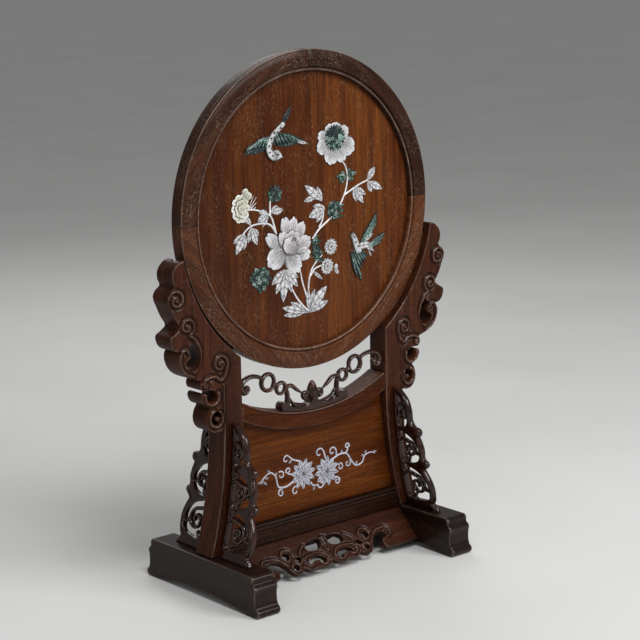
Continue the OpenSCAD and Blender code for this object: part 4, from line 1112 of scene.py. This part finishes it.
green_leaves = []
for base, angle, long, wide, lift, tint in (
        ((60, 33), 145, 10, 6, 0.0, 0), ((60, 31), 205, 13, 7, 0.0, 0.3), ((60, 32), 174, 16, 9, 0.3, 0),
        ((61, 34), 48, 10, 6, 0.0, 0), ((61, 32), -24, 12, 7, 0.0, 0), ((61, 33), 10, 15, 9, 0.3, 0.2),
        ((7, -36), 30, 11, 6, 0.0, 0), ((5, -38), 4, 15, 9, 0.2, 0), ((6, -42), -28, 17, 10, 0.3, 0.8),
        ((8, -55), -22, 17, 9, 0.0, 0), ((6, -50), -6, 18, 11, 0.4, 0.5), ((-46, 15), 20, 11, 6, 0.0, 0),
        ((-46, 15), 160, 11, 6, 0.0, 0), ((-46, 14), 52, 17, 8, 0.1, 0), ((-46, 14), 128, 17, 8, 0.1, 0),
        ((-46, 14), 72, 20, 8, 0.3, 0.8), ((-46, 14), 108, 20, 8, 0.3, 0.8),
        ((-46, 14), 90, 21, 8, 0.5, 1.0), ((47, -5), -12, 11, 4, 0.0, 0), ((46, -8), -38, 11, 4, 0.0, 0),
        ((48, -2), 18, 9, 4, 0.0, 0)):
    green_leaves.append(on_panel(base, angle, long, wide, lift=lift, frill=-4, veins=3, tint=tint))
for place, blades, wide in (
        ((41, -5), (
            (90, 13), (58, 13), (122, 13), (25, 12), (155, 12), (190, 12), (225, 12), (265, 12),
            (300, 12)), 7.5),
        ((-69, -69), (
            (180, 18), (152, 15), (122, 15), (95, 13), (62, 15), (28, 15), (-8, 17), (-38, 15), (-68, 17),
            (-95, 18), (-125, 14), (208, 15)), 9)):
    for k, (angle, long) in enumerate(blades):
        under, over = ((0.9, 0.7), (0.4, -0.8), (-0.3, 0.2))[k % 3]
        green_leaves.append(on_panel(
            place, angle, long, wide, full=1.2, dome=0.6, lift=0.3 * (k % 2), frill=-3, veins=2, tint=under))
        green_leaves.append(on_panel(
            place, angle + 14, 0.6 * long, 0.7 * wide, full=1.2, dome=0.6, lift=0.8, frill=-2, veins=2,
            tint=over))
set_in(green_leaves, "inlay_green_leaves", "green_shell", green_shell)

STEM_W = 2.2
stems = []
for path in (
        [(8, -34), (18, -24), (34, -14), (48, -2), (58, 14), (62, 30), (60, 42), (55, 50)],
        [(56, 11), (68, 16), (80, 21), (94, 25)], [(18, -22), (24, -12), (25, 2)],
        [(-45, -22), (-48, -12), (-52, -2), (-60, 3), (-74, 8), (-86, 9)],
        [(-53, 0), (-53, 12), (-52, 18)],
        [(-46, -20), (-51, -13), (-58, -9), (-70, -8), (-82, -10), (-92, -17)],
        [(0, -116), (-14, -102), (-25, -84), (-28, -66)],
        [(0, -116), (-2, -100), (-8, -82), (-11, -68)],
        [(0, -116), (0, -100), (2, -80), (8, -66), (22, -54)], [(4, -76), (10, -69), (20, -66)]):
    stems.append(stem(FACE, curve_through(path) + [0, DISC_Z], (1.15 * STEM_W, 0.75 * STEM_W)))
for path in ([(-81, 9), (-72, 16)], [(-81, 11), (-72, 22)], [(-82, 13), (-76, 24)], [(-80, 8), (-73, 11)]):
    stems.append(stem(FACE, np.array(path) + [0, DISC_Z], (0.5 * STEM_W, 0.2 * STEM_W)))
set_in(stems, "inlay_stems", "white_shell", white_shell)

# BIRDS OF THE INLAY
# A bird in flight at the upper left and one that settles at the right: white bodies, and wings and tails
# of green shell engraved feather by feather.
bird_bodies = []
for base, angle, long, wide, full, lift, veins in (
        ((-52, 68), -14, 18, 12, 1.1, 0.6, -2), ((-38, 64), -16, 5, 2.4, 0.7, 0.4, 1),
        ((-14, 79), -15, 17, 4.4, 0.8, 0.9, 4), ((76, -51), 4, 22, 9, 0.8, 0.5, 3),
        ((88, -50), -34, 15, 7, 0.9, 0.4, 2), ((84, -46), 28, 18, 6, 0.9, 0.6, 2),
        ((93, -57), -62, 10, 2.6, 1.0, 0.2, 1), ((96, -55), -40, 8, 2.6, 1.0, 0.2, 1)):
    bird_bodies.append(on_panel(base, angle, long, wide, full, dome=0.9, lift=lift, veins=veins))
for path, sizes in (
        ([(-34, 98), (-41, 93), (-48, 87), (-52.5, 80), (-54, 73), (-51, 67), (-46, 64)], (7, 12)),
        ([(76, -53), (74, -49), (72, -44), (70, -40), (67.5, -36)], (12, 8))):
    spine = curve_through(path, 3)
    heading = np.degrees(np.arctan2(*np.gradient(spine, axis=0).T[::-1]))
    for k, (place, turn) in enumerate(zip(spine, heading)):
        size = np.interp(k / len(spine), (0, 1), sizes)
        start = place + size / 3 * np.array([math.cos(math.radians(turn)), math.sin(math.radians(turn))])
        bird_bodies.append(on_panel(
            start, turn + 180, size, 0.85 * size, full=1.3, lift=0.4 + 0.06 * k, frill=1, veins=-3))
SPOT = 2.4
for place in (
        (-37, 95.5), (-41, 91), (-46, 91), (-47, 86), (-51, 85), (-50, 80), (-54, 77), (-51, 74), (-54, 70),
        (-50, 66), (-46, 68), (-42, 66.5), (69.5, -38.5), (72, -45), (76, -50)):
    start = (place[0] - SPOT / 2, place[1])
    bird_bodies.append(on_panel(start, 0, SPOT, 2, dome=0.2, lift=2.1, veins=0))
set_in(bird_bodies, "inlay_bird_bodies", "white_shell", white_shell)
WING_DOME = 0.4
wings = []
for base, angle, long, wide, full, lift, frill, veins, tint in (
        ((-50, 83), 199, 42, 15, 0.6, 0.0, 0, 11, 1.0), ((-49, 84), -7, 50, 16, 0.6, 0.0, 0, 13, 1.0),
        ((-35, 97), 48, 22, 4.4, 1.0, 0.0, 0, 5, 1.0), ((-35, 98), 55, 25, 4.6, 1.0, 0.3, 0, 6, 1.0),
        ((66, -57), -14, 27, 15, 0.9, 0.2, -4, 4, 0.9), ((68, -62), -38, 20, 10, 1.0, 0.1, -4, 4, 0.9),
        ((73, -64), -78, 26, 8, 1.0, 0.0, -4, 6, 0.9)):
    wings.append(on_panel(base, angle, long, wide, full, WING_DOME, lift, frill, veins, tint))


def feathers(edge, count, turns, longs, wide):
    """Overlapping dark feathers along the leading edge of a wing, root to tip, each with a pale shaft."""
    made = []
    for k, base in enumerate(curve_through(edge, count)[:: len(edge) - 1][:count]):
        share = k / (count - 1)
        angle, long = (a + (b - a) * share for a, b in (turns, longs))
        lift = 0.5 + 0.04 * k
        tint = (1.3, 0.9)[k % 2]
        made.append(on_panel(
            base, angle, long, wide, full=1.3, dome=WING_DOME, lift=lift, frill=1, veins=1, tint=tint))
        made.append(on_panel(
            base, angle, 0.95 * long, 0.2 * wide, full=0.9, dome=0.3, lift=lift + 0.4, veins=None,
            tint=-0.45))
    return made


for edge, count, turns, longs, wide in (
        ([(-51, 88), (-64, 86), (-76, 79)], 8, (252, 205), (14, 15), 4.4),
        ([(-55, 87), (-64, 86), (-72, 81)], 5, (244, 215), (7, 6), 4),
        ([(-45, 90), (-28, 88), (-14, 81)], 9, (-72, -22), (15, 14), 4.6),
        ([(-43, 90), (-30, 89), (-18, 84)], 5, (-62, -32), (7, 6), 4),
        ([(80, -46), (83, -47), (86, -48)], 4, (50, 46), (42, 31), 4.4),
        ([(91, -52), (92.5, -54), (94, -56)], 3, (25, 17), (32, 22), 4.4),
        ([(65, -56), (72, -56), (82, -58)], 6, (-74, -46), (32, 13), 5),
        ([(67, -63), (72, -69), (77, -76)], 6, (-56, -74), (16, 18), 4.4)):
    wings += feathers(edge, count, turns, longs, wide)
set_in(wings, "inlay_bird_wings", "green_shell", green_shell)

# STAGE
# A plain pale floor, soft lamps, and the camera at the photograph's angle.
FLOOR_HALF = 20.0
bpy.ops.object.select_all(action="DESELECT")
bpy.ops.mesh.primitive_plane_add(size=2 * FLOOR_HALF, location=(0, 0, 0))
floor = bpy.context.object
floor.name = "floor"
floor_finish, floor_shader, floor_place = new_finish("pale_floor", Roughness=0.75, Specular_IOR_Level=0.2)
mottle = floor_place.node("TexNoise", {"Vector": floor_place, "Scale": 3.0, "Detail": 2}).between(0.2, 0.8)
mottle.mix((0.62, 0.62, 0.61), (0.66, 0.66, 0.65)).feeds(floor_shader, "Base Color")
floor.data.materials.append(floor_finish)

world = bpy.data.worlds.new("studio")
bpy.context.scene.world = world
world.use_nodes = True
backdrop = world.node_tree.nodes["Background"]
backdrop.inputs["Color"].default_value = (0.80, 0.80, 0.80, 1)
backdrop.inputs["Strength"].default_value = 0.36

TARGET = Vector((20.68, 2.0, 287.75)) * MM
for name, place, size, watts in (
        ("key_lamp", (0.9, -1.9, 1.5), 1.1, 36), ("fill_lamp", (-1.9, -1.2, 1.0), 0.6, 5),
        ("top_lamp", (-0.4, -1.1, 1.9), 0.6, 20), ("rim_lamp", (0.7, 1.4, 1.5), 1.0, 9)):
    bpy.ops.object.light_add(type="AREA", location=place)
    lamp = bpy.context.object
    lamp.name = name
    lamp.data.energy = watts
    lamp.data.size = size
    lamp.rotation_mode = "QUATERNION"
    lamp.rotation_quaternion = (TARGET - lamp.location).to_track_quat("-Z", "Y")

AZIMUTH, ELEVATION, ROLL_TURN = (math.radians(a) for a in (-40.68, 11.82, -0.95))
DISTANCE, LENS = 2.1404, 104.83
level = math.cos(ELEVATION)
back = Vector((math.sin(AZIMUTH) * level, -math.cos(AZIMUTH) * level, math.sin(ELEVATION)))
bpy.ops.object.camera_add(location=TARGET + back * DISTANCE)
camera = bpy.context.object
camera.data.lens = LENS
camera.rotation_mode = "QUATERNION"
camera.rotation_quaternion = (-back).to_track_quat("-Z", "Y") @ Quaternion((0, 0, 1), ROLL_TURN)
bpy.context.scene.camera = camera
bpy.context.scene.view_settings.view_transform = "Standard"
